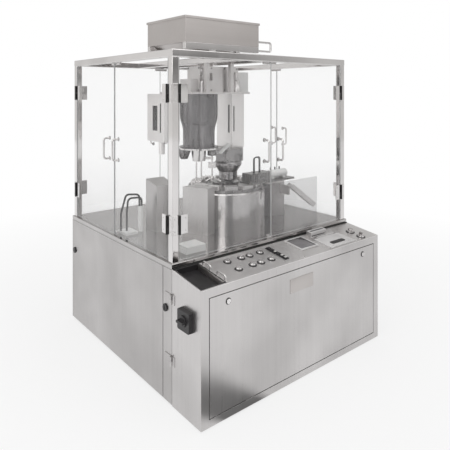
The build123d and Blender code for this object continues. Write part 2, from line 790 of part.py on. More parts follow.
# Enclosure: four posts, the ring of top rails, two roof beams with the tray's cradle and the bar beside
# it, hinge halves, catches and stops. Each tube is a solid of its own, a hair short of the next one.
with BuildPart() as enclosure_frame:
    with BuildSketch(Plane.XY.offset(deck_top)):
        for x in (-posts_x + post_tube / 2, posts_x - post_tube / 2):
            for y in (posts_front_y + post_tube / 2, posts_rear_y - post_tube / 2):
                with Locations((x, y)):
                    RectangleRounded(post_tube, post_tube, tube_corner)
    extrude(amount=rail_low - seat_gap - deck_top)
    for y in (posts_front_y + post_tube / 2, posts_rear_y - post_tube / 2):
        with BuildSketch(Plane.YZ.offset(-posts_x)):
            with Locations((y, enclosure_top - post_tube / 2)):
                RectangleRounded(post_tube, post_tube, tube_corner)
        extrude(amount=2 * posts_x)
    for x in (-posts_x + post_tube / 2, posts_x - post_tube / 2, *beam_positions):
        with BuildSketch(Plane.XZ.offset(post_tube + seat_gap - posts_rear_y)):
            with Locations((x, enclosure_top - post_tube / 2)):
                RectangleRounded(post_tube, post_tube, tube_corner)
        extrude(amount=posts_rear_y - posts_front_y - 2 * (post_tube + seat_gap))
    cradle_low = enclosure_top + cradle_height
    upright_z = (enclosure_top + seat_gap, cradle_low - seat_gap)
    for y_low in (tray_front, tray_rear - cradle_width):
        cradle_y = (y_low, y_low + cradle_width)
        block((tray_left, tray_right), cradle_y, (cradle_low, tray_low))
        for x in beam_positions:
            block((x - cradle_width / 2, x + cradle_width / 2), cradle_y, upright_z)
    loop_y = tray_front + cradle_width / 2
    loop_high = tray_low + 36
    loop_low = tray_low - 24
    loop = [
        (tray_right + seat_gap, loop_y, loop_high),
        (tray_right + 126, loop_y, loop_high),
        (tray_right + 126, loop_y, loop_low),
        (tray_right + seat_gap, loop_y, loop_low),
    ]
    bent_tube(loop, 7.0, 12.0)
    for leaf in leaves:
        plane, hinge, seam, way = leaf_edges(leaf)
        for low in hinge_low_levels:
            hinge_leaf_part(plane, hinge, way, low, moving=False)
    for side, (_, _, _, seam) in sides.items():
        catch_n = (-door_thickness - seat_gap - catch_depth, -door_thickness - seat_gap)
        spread = (seam - catch_length / 2, seam + catch_length / 2)
        face_box(side_plane(side), spread, (rail_low - catch_height, rail_low - seat_gap), catch_n)
        face_box(side_plane(side), (seam - 18, seam + 18), (deck_top, deck_top + 22), catch_n)
keep(enclosure_frame.part, "enclosure_frame")

# Clear door leaves, and the handle and hinge halves that each one carries
for leaf in leaves:
    plane, hinge, seam, way = leaf_edges(leaf)
    near = hinge + way * door_gap
    far = seam - way * door_gap / 2
    with BuildPart() as door_sheet:
        with BuildSketch(plane.offset(-door_thickness)):
            with Locations(((near + far) / 2, (door_low + door_high) / 2)):
                RectangleRounded(abs(far - near), door_high - door_low, 5)
        extrude(amount=door_thickness)
    keep(door_sheet.part, f"{leaf}_door")

    with BuildPart() as door_fittings:
        for low in hinge_low_levels:
            hinge_leaf_part(plane, hinge, way, low, moving=True)
        handle_x = seam - way * handle_from_seam
        ends = (handle_low, handle_low + handle_centres)
        for level in ends:
            with BuildSketch(plane):
                with Locations((handle_x, level)):
                    Circle(handle_rose_radius)
            extrude(amount=handle_rose_height)
        corners = [(ends[0], 0), (ends[0], handle_reach), (ends[1], handle_reach), (ends[1], 0)]
        bar = [plane.from_local_coords((handle_x, level, out)) for level, out in corners]
        bent_tube(bar, handle_radius, handle_bend)
    keep(door_fittings.part, f"{leaf}_door_fittings")

# Roof tray for the empty capsules: an open box with a funnel floor and an outlet chute
with BuildPart() as capsule_tray:
    middle_x = (tray_left + tray_right) / 2
    middle_y = (tray_front + tray_rear) / 2
    size_x = tray_right - tray_left
    size_y = tray_rear - tray_front
    funnel_low = tray_low - 90.0
    for inset, mode in ((0.0, Mode.ADD), (tray_sheet, Mode.SUBTRACT)):
        with BuildSketch(Plane.XY.offset(tray_low + inset)):
            with Locations((middle_x, middle_y)):
                Rectangle(size_x - 2 * inset, size_y - 2 * inset)
        extrude(amount=tray_high - tray_low, mode=mode)
        if mode == Mode.ADD:
            rim_y = (tray_front - 6, tray_rear + 6)
            block((tray_left - 6, tray_right + 6), rim_y, (tray_high - 14, tray_high))
        top_x = size_x - 2 * tray_floor_band - 2 * inset
        top_y = size_y - 2 * tray_floor_band - 2 * inset
        drop = 1.0 if mode == Mode.SUBTRACT else 0.0
        with BuildSketch(Plane.XY.offset(tray_low + inset + drop)):
            with Locations((middle_x, middle_y)):
                Rectangle(top_x, top_y)
        with BuildSketch(Plane.XY.offset(funnel_low)):
            with Locations((outlet_x, outlet_y)):
                Rectangle(outlet_width - 2 * inset, outlet_depth - 2 * inset)
        loft(mode=mode)
        with BuildSketch(Plane.XY.offset(head_high - drop)):
            with Locations((outlet_x, outlet_y)):
                Rectangle(outlet_width - 2 * inset, outlet_depth - 2 * inset)
        extrude(amount=funnel_low - head_high + 2 * drop, mode=mode)
    block((tray_left, tray_right), (tray_front, tray_rear), (tray_high, tray_high + 20), Mode.SUBTRACT)
keep(capsule_tray.part, "capsule_tray")

# Feeding head: the carrier plate on its four hangers, the feeder block, the elbow and the vibrator
carrier_high = carrier_low + carrier_thickness
with BuildPart() as feed_head:
    block((carrier_left, carrier_right), (carrier_front, carrier_rear), (carrier_low, carrier_high))
    for x in beam_positions:
        for y in (carrier_front + 20, carrier_rear - 20):
            block((x - 13, x + 13), (y - 13, y + 13), (carrier_high - 1, rail_low))
    with BuildSketch(Plane.XZ.offset(-head_rear)):
        with BuildLine():
            Polyline(
                (head_left, carrier_high - 1),
                (head_left, head_high),
                (head_right, head_high),
                (head_right, carrier_high + 92),
                (head_right - 52, carrier_high - 1),
                close=True,
            )
        make_face()
    extrude(amount=head_rear - head_front)
    step_y = (head_front + 20, head_rear)
    block((head_left - 58, head_left + 1), step_y, (carrier_high - 1, carrier_high + 84))
    recess_x = (head_left + 66, head_left + 100)
    block(recess_x, (head_front - 1, head_front + 22), (head_high - 92, head_high - 44), Mode.SUBTRACT)
    for level, x in ((head_high - 30, head_left + 22), (head_high - 62, head_left + 6)):
        with Locations((x, head_front - 3, level)):
            Torus(13, 4, rotation=(90, 0, 0))
    elbow_y = head_front - 13
    elbow = [
        (powder_x - 44, elbow_y, carrier_high - 1),
        (powder_x - 44, elbow_y, carrier_high + 74),
        (powder_x + 2, elbow_y, carrier_high + 74),
        (powder_x + 2, elbow_y, carrier_low - 20),
    ]
    bent_tube(elbow, 10.0, 21.0)
    with BuildSketch(Plane(origin=(bell_x, bell_y, carrier_high), x_dir=(1, 0, 0), z_dir=(0, -1, 0))):
        with BuildLine():
            Polyline((0, -1), (bell_radius, -1), (bell_radius, 14))
            Spline(
                (bell_radius, 14),
                (bell_neck_radius + 3, 44),
                (bell_neck_radius, 74),
                tangents=((0, 1), (0, 1)),
            )
            Polyline(
                (bell_neck_radius, 74),
                (bell_neck_radius + 6, 78),
                (bell_neck_radius + 6, bell_height),
                (0, bell_height),
                (0, -1),
            )
        make_face()
    revolve(axis=Axis((bell_x, bell_y, carrier_high), (0, 0, 1)))
keep(feed_head.part, "feed_head")

# Two capsule magazines under the carrier, each with its sight slots
slot_depth = 6.0
with BuildPart() as capsule_magazines:
    left_x = (-420.0, -304.0)
    left_y = (20.0, 225.0)
    left_low = 1272.0
    block(left_x, left_y, (left_low, carrier_low))
    left_face = (left_x[0], left_x[0] + slot_depth)
    window_y = (left_y[0] + 80, left_y[0] + 140)
    slot_y = (left_y[0] + 36, left_y[0] + 52)
    block(left_face, window_y, (left_low + 70, left_low + 230), Mode.SUBTRACT)
    block(left_face, slot_y, (left_low + 60, left_low + 245), Mode.SUBTRACT)
    right_x = (66.0, 174.0)
    right_y = (-62.0, 103.0)
    block(right_x, right_y, (loader_high, carrier_low))
    right_face = (right_x[0], right_x[0] + slot_depth)
    front_face = (right_y[0], right_y[0] + slot_depth)
    slot_y = (right_y[0] + 26, right_y[0] + 42)
    slot_x = (right_x[0] + 12, right_x[0] + 22)
    block(right_face, slot_y, (loader_high + 100, loader_high + 290), Mode.SUBTRACT)
    block(slot_x, front_face, (loader_high + 110, loader_high + 280), Mode.SUBTRACT)
    rod((left_x[0] + 20, left_y[0] + 60), 19.0, left_low - 78, left_low + 1)
keep(capsule_magazines.part, "capsule_magazines")

# Smoked powder hopper: a turned shell, open at the top, with a flange at its foot
powder_waist_radius = (powder_radius + powder_throat_radius) / 2
powder_waist = (powder_shoulder + powder_throat) / 2
with BuildPart() as powder_hopper:
    with BuildSketch(Plane.XZ):
        with BuildLine():
            Polyline(
                (powder_radius - powder_wall, carrier_low),
                (powder_radius, carrier_low),
                (powder_radius, powder_shoulder),
            )
            Spline(
                (powder_radius, powder_shoulder),
                (powder_waist_radius, powder_waist),
                (powder_throat_radius, powder_throat),
                tangents=((0, -1), (0, -1)),
            )
            Polyline(
                (powder_throat_radius, powder_throat),
                (powder_throat_radius, powder_low + 8),
                (powder_flange_radius, powder_low + 8),
                (powder_flange_radius, powder_low),
                (powder_throat_radius - powder_wall, powder_low),
                (powder_throat_radius - powder_wall, powder_throat),
            )
            Spline(
                (powder_throat_radius - powder_wall, powder_throat),
                (powder_waist_radius - powder_wall, powder_waist),
                (powder_radius - powder_wall, powder_shoulder),
                tangents=((0, 1), (0, 1)),
            )
            Line(
                (powder_radius - powder_wall, powder_shoulder),
                (powder_radius - powder_wall, carrier_low),
            )
        make_face()
    revolve(axis=Axis.Z)
keep(powder_hopper.part.moved(Location((powder_x, powder_y, 0))), "powder_hopper")

# Outlet cup under the hopper
with BuildPart() as hopper_outlet:
    rod((powder_x, powder_y), powder_flange_radius, powder_low - 10, powder_low)
    with BuildSketch(Plane.XY.offset(powder_low - 10)):
        with Locations((powder_x, powder_y)):
            Circle(cup_radius + 7)
    with BuildSketch(Plane.XY.offset(cup_low)):
        with Locations((powder_x, powder_y)):
            Circle(cup_radius)
    loft()
    rod((powder_x, powder_y), stirrer_radius + 1, cup_low - 1, powder_low + 1, Mode.SUBTRACT)
    for side in (-1, 1):
        bore_at = (powder_x + side * plunger_spread, powder_y)
        rod(bore_at, plunger_rod_radius + shaft_clearance, cup_low - 1, cup_low + 48, Mode.SUBTRACT)
keep(hopper_outlet.part, "hopper_outlet")

# Stirrer in the hopper: a shaft with two paddles, carried by the carrier plate
with BuildPart() as hopper_stirrer:
    rod((powder_x, powder_y), stirrer_radius, powder_low - 6, carrier_low - seat_gap)
    for level, turn in ((powder_low + 30, 0), (powder_throat + 40, 90)):
        with BuildSketch(Plane.XY.offset(level)):
            with Locations((powder_x, powder_y)):
                Rectangle(2 * paddle_reach, 14, rotation=turn)
        extrude(amount=12)
keep(hopper_stirrer.part, "hopper_stirrer")

# Station housings on the deck, around the turret
with BuildPart() as station_housings:
    with BuildSketch(Plane.XY.offset(deck_top)):
        with BuildLine():
            Polyline((-347, -79), (-272, -236), (-196, -206), (-240, -62), close=True)
        make_face()
    extrude(amount=housing_high - deck_top)
    with BuildSketch(Plane.YZ.offset(-473)):
        with BuildLine():
            Polyline((20, deck_top), (20, 1006), (152, 1036), (152, deck_top), close=True)
        make_face()
    extrude(amount=128)
    block((345, 480), (-150, 40), (deck_top, bridge_low))
keep(station_housings.part, "station_housings")

# Turret base: a polished drum on the deck
with BuildPart() as turret_base:
    with BuildSketch(Plane.XZ):
        with BuildLine():
            Polyline(
                (turret_shaft_radius + 4, deck_top),
                (turret_radius, deck_top),
                (turret_radius, turret_high - 8),
                (turret_radius - 8, turret_high),
                (turret_shaft_radius + 4, turret_high),
                close=True,
            )
        make_face()
    revolve(axis=Axis.Z)
keep(turret_base.part.moved(Location((turret_x, turret_y, 0))), "turret_base")

# Turntable with its shaft and hub
with BuildPart() as turntable:
    table_high = turntable_low + turntable_thickness
    rod((turret_x, turret_y), turret_shaft_radius, turret_shaft_low, turntable_low + 1)
    rod((turret_x, turret_y), turntable_radius, turntable_low, table_high)
    rod((turret_x, turret_y), 90.0, table_high - 1, table_high + 20)
    rod((turret_x, turret_y), 60.0, table_high + 19, table_high + 32)
keep(turntable.part, "turntable")

# Twelve capsule segments round the turntable, each drilled for its capsules
with BuildPart() as capsule_segments:
    with BuildSketch(Plane.XY.offset(table_high)):
        with Locations((turret_x, turret_y)):
            with PolarLocations(segment_radius, segment_count):
                RectangleRounded(segment_depth, segment_width, 6)
                with GridLocations(20, 16, 2, 4):
                    Circle(capsule_bore_radius, mode=Mode.SUBTRACT)
    extrude(amount=segment_height)
keep(capsule_segments.part, "capsule_segments")

# Smoked guard in front of the turret, one bent sheet standing on the deck
guard_height = 302.0
guard_thickness = 6.0
guard_y = -427.0
with BuildPart() as turret_guard:
    with BuildSketch(Plane.XY.offset(deck_top)):
        with BuildLine() as guard_line:
            FilletPolyline((504, guard_y), (-64, guard_y), (-190, -300), radius=90)
        trace(guard_line.line, line_width=guard_thickness)
    extrude(amount=guard_height)
keep(turret_guard.part, "turret_guard")

# Filling block on the bridge plate that spans from the right-hand housing
bridge_high = bridge_low + bridge_thickness
rib_x = (80.0, 144.0)
with BuildPart() as filling_block:
    block((rib_x[0] - 5, 480), (-246, -130), (bridge_low, bridge_high))
    block((rib_x[1] - 1, 268), (-236, -150), (bridge_high, bridge_high + 56))
    with BuildSketch(Plane.XY.offset(bridge_high)):
        with Locations((sum(rib_x) / 2, -193)):
            Rectangle(rib_x[1] - rib_x[0], 86)
            with GridLocations(16, 86, 4, 2):
                Rectangle(7, 8, mode=Mode.SUBTRACT)
        with Locations((rib_x[0], -193)):
            with GridLocations(1, 22, 1, 4):
                Rectangle(8, 10, mode=Mode.SUBTRACT)
    extrude(amount=56)
    with BuildSketch(Plane.YZ.offset(268)):
        with Locations((-193, bridge_high + 32)):
            Circle(22)
    extrude(amount=10)
keep(filling_block.part, "filling_block")

# Loader above the drum, under the right magazine
with BuildPart() as capsule_loader:
    with BuildSketch(Plane.XY.offset(drum_high + shaft_clearance)):
        with BuildLine():
            Polyline((-30, -120), (110, -120), (160, -70), (160, 82), (70, 98), (-30, -8), close=True)
        make_face()
    extrude(amount=loader_high - drum_high - shaft_clearance)
    rod((drum_x, drum_y), 12.0 + shaft_clearance, drum_high, loader_high - 20, Mode.SUBTRACT)
keep(capsule_loader.part, "capsule_loader")

# Drum that turns under the loader
with BuildPart() as loading_drum:
    with BuildSketch(Plane.XZ):
        with BuildLine():
            Polyline(
                (0, drum_low),
                (drum_radius - 38, drum_low),
                (drum_radius - 30, drum_low + 8),
                (drum_radius - 30, drum_low + 56),
                (drum_radius, drum_high - 20),
                (drum_radius, drum_high - 8),
                (drum_radius - 8, drum_high),
                (12, drum_high),
                (12, loader_high - 24),
                (0, loader_high - 24),
                close=True,
            )
        make_face()
    revolve(axis=Axis.Z)
    with PolarLocations(drum_radius, 12):
        with Locations((0, 0, drum_high - 40)):
            Cylinder(5, 60, mode=Mode.SUBTRACT)
keep(loading_drum.part.moved(Location((drum_x, drum_y, 0))), "loading_drum")

# Plunger head: two guide rods in the cup and the crossbar that they carry
with BuildPart() as plunger_head:
    for side in (-1, 1):
        rod((powder_x + side * plunger_spread, powder_y), plunger_rod_radius, plunger_low, cup_low + 30)
    half_bar = plunger_spread + 20
    bar_y = (powder_y - 7, powder_y + 7)
    block((powder_x - half_bar, powder_x + half_bar), bar_y, (plunger_low, plunger_low + 10))
keep(plunger_head.part, "plunger_head")

# Discharge chute: an inclined trough with its bracket on the housing
chute_top = (443.0, -240.0, 944.0)
chute_foot = (604.0, -306.0, 800.0)
with BuildPart() as discharge_chute:
    run = Vector(*chute_foot) - Vector(*chute_top)
    across = Vector(0, 0, 1).cross(run).normalized()
    trough = Plane(origin=chute_top, x_dir=across, z_dir=run)
    with BuildSketch(trough):
        Rectangle(chute_width, chute_side)
        with Locations((0, chute_wall if trough.y_dir.Z > 0 else -chute_wall)):
            Rectangle(chute_width - 2 * chute_wall, chute_side, mode=Mode.SUBTRACT)
    extrude(amount=run.length)
    bracket_z = (chute_top[2] - 70, chute_top[2] - 8)
    block((chute_top[0] - 8, chute_top[0] + 4), (chute_top[1] + 6, -150), bracket_z)
keep(discharge_chute.part, "discharge_chute")

# White plastic pieces on the deck: the filter bowl, the terminal box and the stacked slabs
terminal_x = (46.0 - posts_x, 126.0 - posts_x)
terminal_height = 16.0
bowl_place = (terminal_x[1] + 42, 115.0)
bowl_height = 158.0
cylinder_radius = 27.0
cylinder_y = -193.0
cylinder_x = (278.0, 438.0)
with BuildPart() as white_covers:
    block(terminal_x, (70, 178), (deck_top, deck_top + terminal_height))
    rod(bowl_place, 17.0, deck_top, deck_top + bowl_height)
    for level, inset in ((0, 0), (12, 4), (24, 8)):
        slab_low = deck_top + level
        block((-570 + inset, -440), (-440, -330 - inset), (slab_low, slab_low + 12))
    for x in (292, 400):
        block((x, x + 22), (cylinder_y - 22, cylinder_y + 22), (bridge_high, bridge_high + 20))
    with BuildSketch(Plane.YZ.offset(cylinder_x[0])):
        with Locations((cylinder_y, bridge_high + 32)):
            Circle(cylinder_radius)
    extrude(amount=cylinder_x[1] - cylinder_x[0])
    block((head_right + 27, head_right + 109), (-60, 70), (carrier_high, carrier_high + 136))
keep(white_covers.part, "white_covers")

# Formed air lines: two from the deck to the filter bowl, two arches on the filling block
with BuildPart() as air_lines:
    for apart, rise in ((0.0, 216.0), (26.0, 196.0)):
        start = (terminal_x[0] + 5 + apart, 150 - apart)
        end = (bowl_place[0] - 8 + apart / 1.7, bowl_place[1])
        line = [
            (*start, deck_top + terminal_height),
            (*start, deck_top + 120),
            (terminal_x[0] + 35, 140 - apart, deck_top + rise + 20),
            (*end, deck_top + rise + 14),
            (*end, deck_top + bowl_height),
        ]
        bent_tube(line, 6.0, 24.0)
    for x, y in ((128.0, -208.0), (154.0, -190.0)):
        arch = [
            (x, y, bridge_high + 56),
            (x, y, bridge_high + 158),
            (x + 50, y, bridge_high + 158),
            (x + 50, y, bridge_high + 56),
        ]
        bent_tube(arch, 3.0, 15.0)
keep(air_lines.part, "air_lines")

# Drive on its bed plate: geared motor, pedestals and the index gearbox hung under the deck
bed_low = frame_bottom + frame_tube
bed_high = bed_low + bed_thickness
bed_left = 50.0 - half_width
motor_left = bed_left + 10
reducer_x = (-430.0, -330.0)
shaft_left = reducer_x[1] - 10
with BuildPart() as main_drive:
    bed_y = (turret_y - cross_offset - 25, turret_y + cross_offset + 25)
    block((bed_left, half_width - 190), bed_y, (bed_low, bed_high))
    for x in pedestal_places:
        with BuildSketch(Plane.YZ.offset(x - 18)):
            with BuildLine():
                Polyline(
                    (turret_y - 70, bed_high),
                    (turret_y - 34, drive_height + 34),
                    (turret_y + 34, drive_height + 34),
                    (turret_y + 70, bed_high),
                    close=True,
                )
            make_face()
            with Locations((turret_y, drive_height)):
                Circle(cam_shaft_radius + shaft_clearance, mode=Mode.SUBTRACT)
        extrude(amount=36)
    with BuildSketch(Plane.YZ.offset(motor_left)):
        with Locations((turret_y, drive_height)):
            Circle(motor_radius)
    extrude(amount=reducer_x[0] - motor_left)
    cradle_x = (motor_left + 40, reducer_x[0] - 50)
    block(cradle_x, (turret_y - 70, turret_y + 70), (bed_high, drive_height - 60))
    block(reducer_x, (turret_y - 90, turret_y + 90), (bed_high, drive_height + 95))
    block(
        (turret_x - gearbox_half_x, turret_x + gearbox_half_x),
        (turret_y - gearbox_half_y, turret_y + gearbox_half_y),
        (gearbox_low, deck_low - frame_tube),
    )
    block(
        (turret_x - gearbox_half_x - 20, turret_x + gearbox_half_x + 20),
        bed_y,
        (deck_low - frame_tube - 14, deck_low - frame_tube),
    )
    bore_radius = turret_shaft_radius + shaft_clearance
    rod((turret_x, turret_y), bore_radius, turret_shaft_low - 6, deck_low, Mode.SUBTRACT)
    with BuildSketch(Plane.YZ.offset(shaft_left - 5)):
        with Locations((turret_y, drive_height)):
            Circle(cam_shaft_radius + shaft_clearance)
    extrude(amount=700, mode=Mode.SUBTRACT)
keep(main_drive.part, "main_drive")

# Cam shaft through the gearbox, with the cams that lift the stations
with BuildPart() as cam_shaft:
    with BuildSketch(Plane.YZ.offset(shaft_left)):
        with Locations((turret_y, drive_height)):
            Circle(cam_shaft_radius)
    extrude(amount=pedestal_places[1] + 30 - shaft_left)
    for number, x in enumerate(cam_places):
        with BuildSketch(Plane.YZ.offset(x - cam_thickness / 2)):
            with Locations((turret_y, drive_height)):
                Circle(cam_radius)
                with PolarLocations(cam_lift, 1, start_angle=90 * number):
                    Circle(cam_radius)
        extrude(amount=cam_thickness)
keep(cam_shaft.part, "cam_shaft")
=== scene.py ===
import json
import math

import bmesh
import bpy
from mathutils import Matrix, Vector

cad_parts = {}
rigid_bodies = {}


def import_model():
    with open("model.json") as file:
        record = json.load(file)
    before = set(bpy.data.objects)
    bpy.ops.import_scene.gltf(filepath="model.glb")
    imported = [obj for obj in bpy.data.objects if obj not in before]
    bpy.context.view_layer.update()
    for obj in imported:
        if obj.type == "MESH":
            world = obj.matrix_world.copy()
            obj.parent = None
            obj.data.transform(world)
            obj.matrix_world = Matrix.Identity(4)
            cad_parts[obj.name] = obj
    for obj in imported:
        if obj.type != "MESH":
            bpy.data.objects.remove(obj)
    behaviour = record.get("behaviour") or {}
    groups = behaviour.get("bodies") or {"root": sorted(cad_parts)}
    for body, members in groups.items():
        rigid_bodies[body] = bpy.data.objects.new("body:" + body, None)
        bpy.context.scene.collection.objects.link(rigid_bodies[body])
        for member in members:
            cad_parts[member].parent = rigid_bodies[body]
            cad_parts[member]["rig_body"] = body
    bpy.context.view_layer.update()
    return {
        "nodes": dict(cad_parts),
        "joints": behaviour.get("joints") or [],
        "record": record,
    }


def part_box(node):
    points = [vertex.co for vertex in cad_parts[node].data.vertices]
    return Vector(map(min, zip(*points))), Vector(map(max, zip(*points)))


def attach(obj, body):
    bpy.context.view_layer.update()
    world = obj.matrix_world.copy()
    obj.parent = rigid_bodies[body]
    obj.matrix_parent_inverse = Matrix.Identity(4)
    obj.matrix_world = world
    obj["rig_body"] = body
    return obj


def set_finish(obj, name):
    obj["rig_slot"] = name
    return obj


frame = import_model()

# Looks of a capsule filling machine: brushed stainless cabinet, polished tube enclosure with clear
# doors, smoked hopper and guard, and the bright fittings of the filling stations. Metres.

# Camera at a standing photographer's eye height; lens and sensor in millimetres, drop as a share of width
EYE = Vector((-2.05053, -2.60769, 1.58892))
HEADING = math.radians(39.203)
LENS = 39.08
SENSOR = 36.0
VIEW_DROP = -0.2952

# Places taken from the frame
ROOT = "machine"
LEAF_JOINTS = {j["name"][:-len("_hinge")]: j for j in frame["joints"] if j["name"].endswith("_hinge")}
DOOR_LEAVES = [n[:-len("_door_fittings")] for n in frame["nodes"] if n.endswith("_door_fittings")]
PLAN_CENTRE_X = sum(corner.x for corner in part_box("enclosure_frame")) / 2
PLAN_CENTRE_Y = sum(corner.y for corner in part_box("enclosure_frame")) / 2
TURRET = sum(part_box("turntable"), Vector()) / 2
CENTRE_LINE = Vector((TURRET.x - 0.060, TURRET.y, 0.0))

# Desk: the height of its front edge, its rise and its run
DESK_LOW = 0.664
DESK_RISE = 0.032
DESK_RUN = 0.246
DESK_ANGLE = math.atan2(DESK_RISE, DESK_RUN)
DESK_OUT = Vector((0.0, -math.sin(DESK_ANGLE), math.cos(DESK_ANGLE)))

# Controls on the desk: places across from the middle, and along from the front edge
CONTROL_ROWS = (0.084, 0.177)
STOP_ACROSS = 0.583
STOP_ALONG = 0.122
SELECTOR_ALONG = 0.040
SCREEN_X = (0.066, 0.214)
SCREEN_ALONG = (0.076, 0.220)
KEYS_X = (-0.099, -0.081)
KEYS_ALONG = (0.042, 0.204)
KEY_COUNT = 6
PALE_KEYS = (0, 1, 3)
RECORDER_X = (0.255, 0.400)
RECORDER_ALONG = (0.176, 0.212)
RECORDER_HEIGHT = 0.034
COVER_LIFT = 0.0001
SURROUND_WIDTH = 0.0118
DESK_SCREWS_X = (-0.545, -0.020, 0.020, 0.235, 0.510, 0.690)
DESK_SCREWS_ALONG = (0.014, 0.234)
LID_OVAL_AT = (0.375, 0.062, 0.00285)
LID_OVAL_HALF_RUN = 0.048
LID_OVAL_RADIUS = 0.017

# Console front panel: bare plate and quarter-turn fasteners
PLATE_X = (-0.112, 0.077)
PLATE_Z = (0.496, 0.573)
PLATE_THICK = 0.0015
PLATE_SCREW_INSET = 0.006
QUARTER_TURN_X = 0.545
QUARTER_TURN_Z = 0.575

# Screw heads: radius and height
HINGE_SCREW = (0.0042, 0.0016)
PLATE_SCREW = (0.0022, 0.0012)
QUARTER_TURN = (0.0125, 0.005)
DESK_SCREW = (0.0035, 0.0018)
STATION_SCREW = (0.0055, 0.0035)

# Door hinges and handles
HINGE_HEIGHT = 0.097
HINGE_LEAF_THICK = 0.003
POST_LEAF_SCREW = 0.027
DOOR_LEAF_SCREW = 0.040
SCREW_RISE = 0.032
KNUCKLE_RADIUS = 0.0066
HANDLE_LOW = 1.182
HANDLE_CENTRES = 0.125

# Finishes: how grain, marks and the painted shade on the hinge knuckle lines are mixed
FINE_SHARE = 0.6
BROAD_GRAIN = 0.12
PATCH_SCALE = 7.0
METAL_MARKS = 2.2
PLASTIC_MARKS = 6.0
SHEET_MARKS = 3.0
KNUCKLE_PAINTED_SHADE = (0.035, 0.034, 0.034)
SMOKE_STREAKS = (22.0, 22.0, 1.6)

# Studio: a white room with a narrow dark flag beside the camera, which only reflections show
FLOOR_RADIUS = 14.0
FLAG_NEAR = (0.03, 0.08)
FLAG_FAR = (0.38, 0.31)
FLAG_LEVEL = 0.22
FLAG_DEPTH = 0.72


def new_group(name, inputs, outputs):
    """An empty shader node group with named sockets."""
    tree = bpy.data.node_groups.new(name, "ShaderNodeTree")
    for label, kind, value in inputs:
        socket = tree.interface.new_socket(label, in_out="INPUT", socket_type=kind)
        socket.default_value = value
    for label, kind in outputs:
        tree.interface.new_socket(label, in_out="OUTPUT", socket_type=kind)
    return tree, tree.nodes.new("NodeGroupInput"), tree.nodes.new("NodeGroupOutput")


def node(tree, kind, **settings):
    """A node with its properties set and its inputs given by name or number."""
    made = tree.nodes.new(kind)
    inputs = settings.pop("inputs", {})
    for key, value in settings.items():
        setattr(made, key, value)
    for key, value in inputs.items():
        if isinstance(value, bpy.types.NodeSocket):
            tree.links.new(value, made.inputs[key])
        else:
            made.inputs[key].default_value = value
    return made


def math_node(tree, operation, first, second=0.0, clamp=False):
    """The result of one calculation."""
    return node(tree, "ShaderNodeMath", operation=operation, use_clamp=clamp,
                inputs={0: first, 1: second}).outputs[0]


def mixed(tree, factor, first, second):
    """A colour between two colours."""
    made = node(tree, "ShaderNodeMix", data_type="RGBA")
    tree.links.new(factor, made.inputs["Factor"])
    for key, value in (("A", first), ("B", second)):
        socket = [s for s in made.inputs if s.name == key and s.type == "RGBA"][0]
        if isinstance(value, bpy.types.NodeSocket):
            tree.links.new(value, socket)
        else:
            socket.default_value = (*value, 1.0)
    return [s for s in made.outputs if s.type == "RGBA"][0]


def in_range(tree, value, low, high, to_low=0.0, to_high=1.0):
    """A value moved from one range to another, held at its ends."""
    return node(tree, "ShaderNodeMapRange", inputs={
        "Value": value, "From Min": low, "From Max": high, "To Min": to_low, "To Max": to_high,
    }).outputs["Result"]


def vector_node(tree, operation, first, second=(0.0, 0.0, 0.0)):
    """The result of one calculation on vectors: a number for a length, a distance or a dot product."""
    made = node(tree, "ShaderNodeVectorMath", operation=operation, inputs={0: first, 1: second})
    return made.outputs["Value" if operation in ("LENGTH", "DISTANCE", "DOT_PRODUCT") else "Vector"]


def noise(tree, place, scale, detail, roughness=0.5):
    """Soft cloudy noise over a place."""
    return node(tree, "ShaderNodeTexNoise", inputs={
        "Vector": place, "Scale": scale, "Detail": detail, "Roughness": roughness,
    }).outputs["Fac"]


def object_place(tree):
    """The place on the piece itself."""
    return node(tree, "ShaderNodeTexCoord").outputs["Object"]


def build_grain_group():
    """Fine parallel grain left by a belt: its tone and its height."""
    tree, given, result = new_group("belt_grain", [
        ("Stretch", "NodeSocketVector", (1.0, 1.0, 0.02)),
        ("Scale", "NodeSocketFloat", 420.0),
    ], [("Tone", "NodeSocketFloat"), ("Height", "NodeSocketFloat")])
    drawn = vector_node(tree, "MULTIPLY", object_place(tree), given.outputs["Stretch"])
    fine = noise(tree, drawn, given.outputs["Scale"], 3.0, 0.6)
    broad = noise(tree, drawn, math_node(tree, "MULTIPLY", given.outputs["Scale"], BROAD_GRAIN), 2.0)
    tone = math_node(tree, "ADD", math_node(tree, "MULTIPLY", fine, FINE_SHARE),
                     math_node(tree, "MULTIPLY", broad, 1.0 - FINE_SHARE))
    tree.links.new(in_range(tree, tone, 0.3, 0.7), result.inputs["Tone"])
    tree.links.new(fine, result.inputs["Height"])
    return tree


def build_marks_group():
    """Cloudy wiping and handling marks: a broad cloud and a few soft patches."""
    tree, given, result = new_group("handling_marks", [
        ("Scale", "NodeSocketFloat", 2.2),
    ], [("Cloud", "NodeSocketFloat"), ("Patches", "NodeSocketFloat")])
    place = object_place(tree)
    cloud = noise(tree, place, given.outputs["Scale"], 2.0)
    patches = noise(tree, place, math_node(tree, "MULTIPLY", given.outputs["Scale"], PATCH_SCALE), 5.0, 0.65)
    tree.links.new(in_range(tree, cloud, 0.35, 0.65), result.inputs["Cloud"])
    tree.links.new(in_range(tree, patches, 0.5, 0.75), result.inputs["Patches"])
    return tree


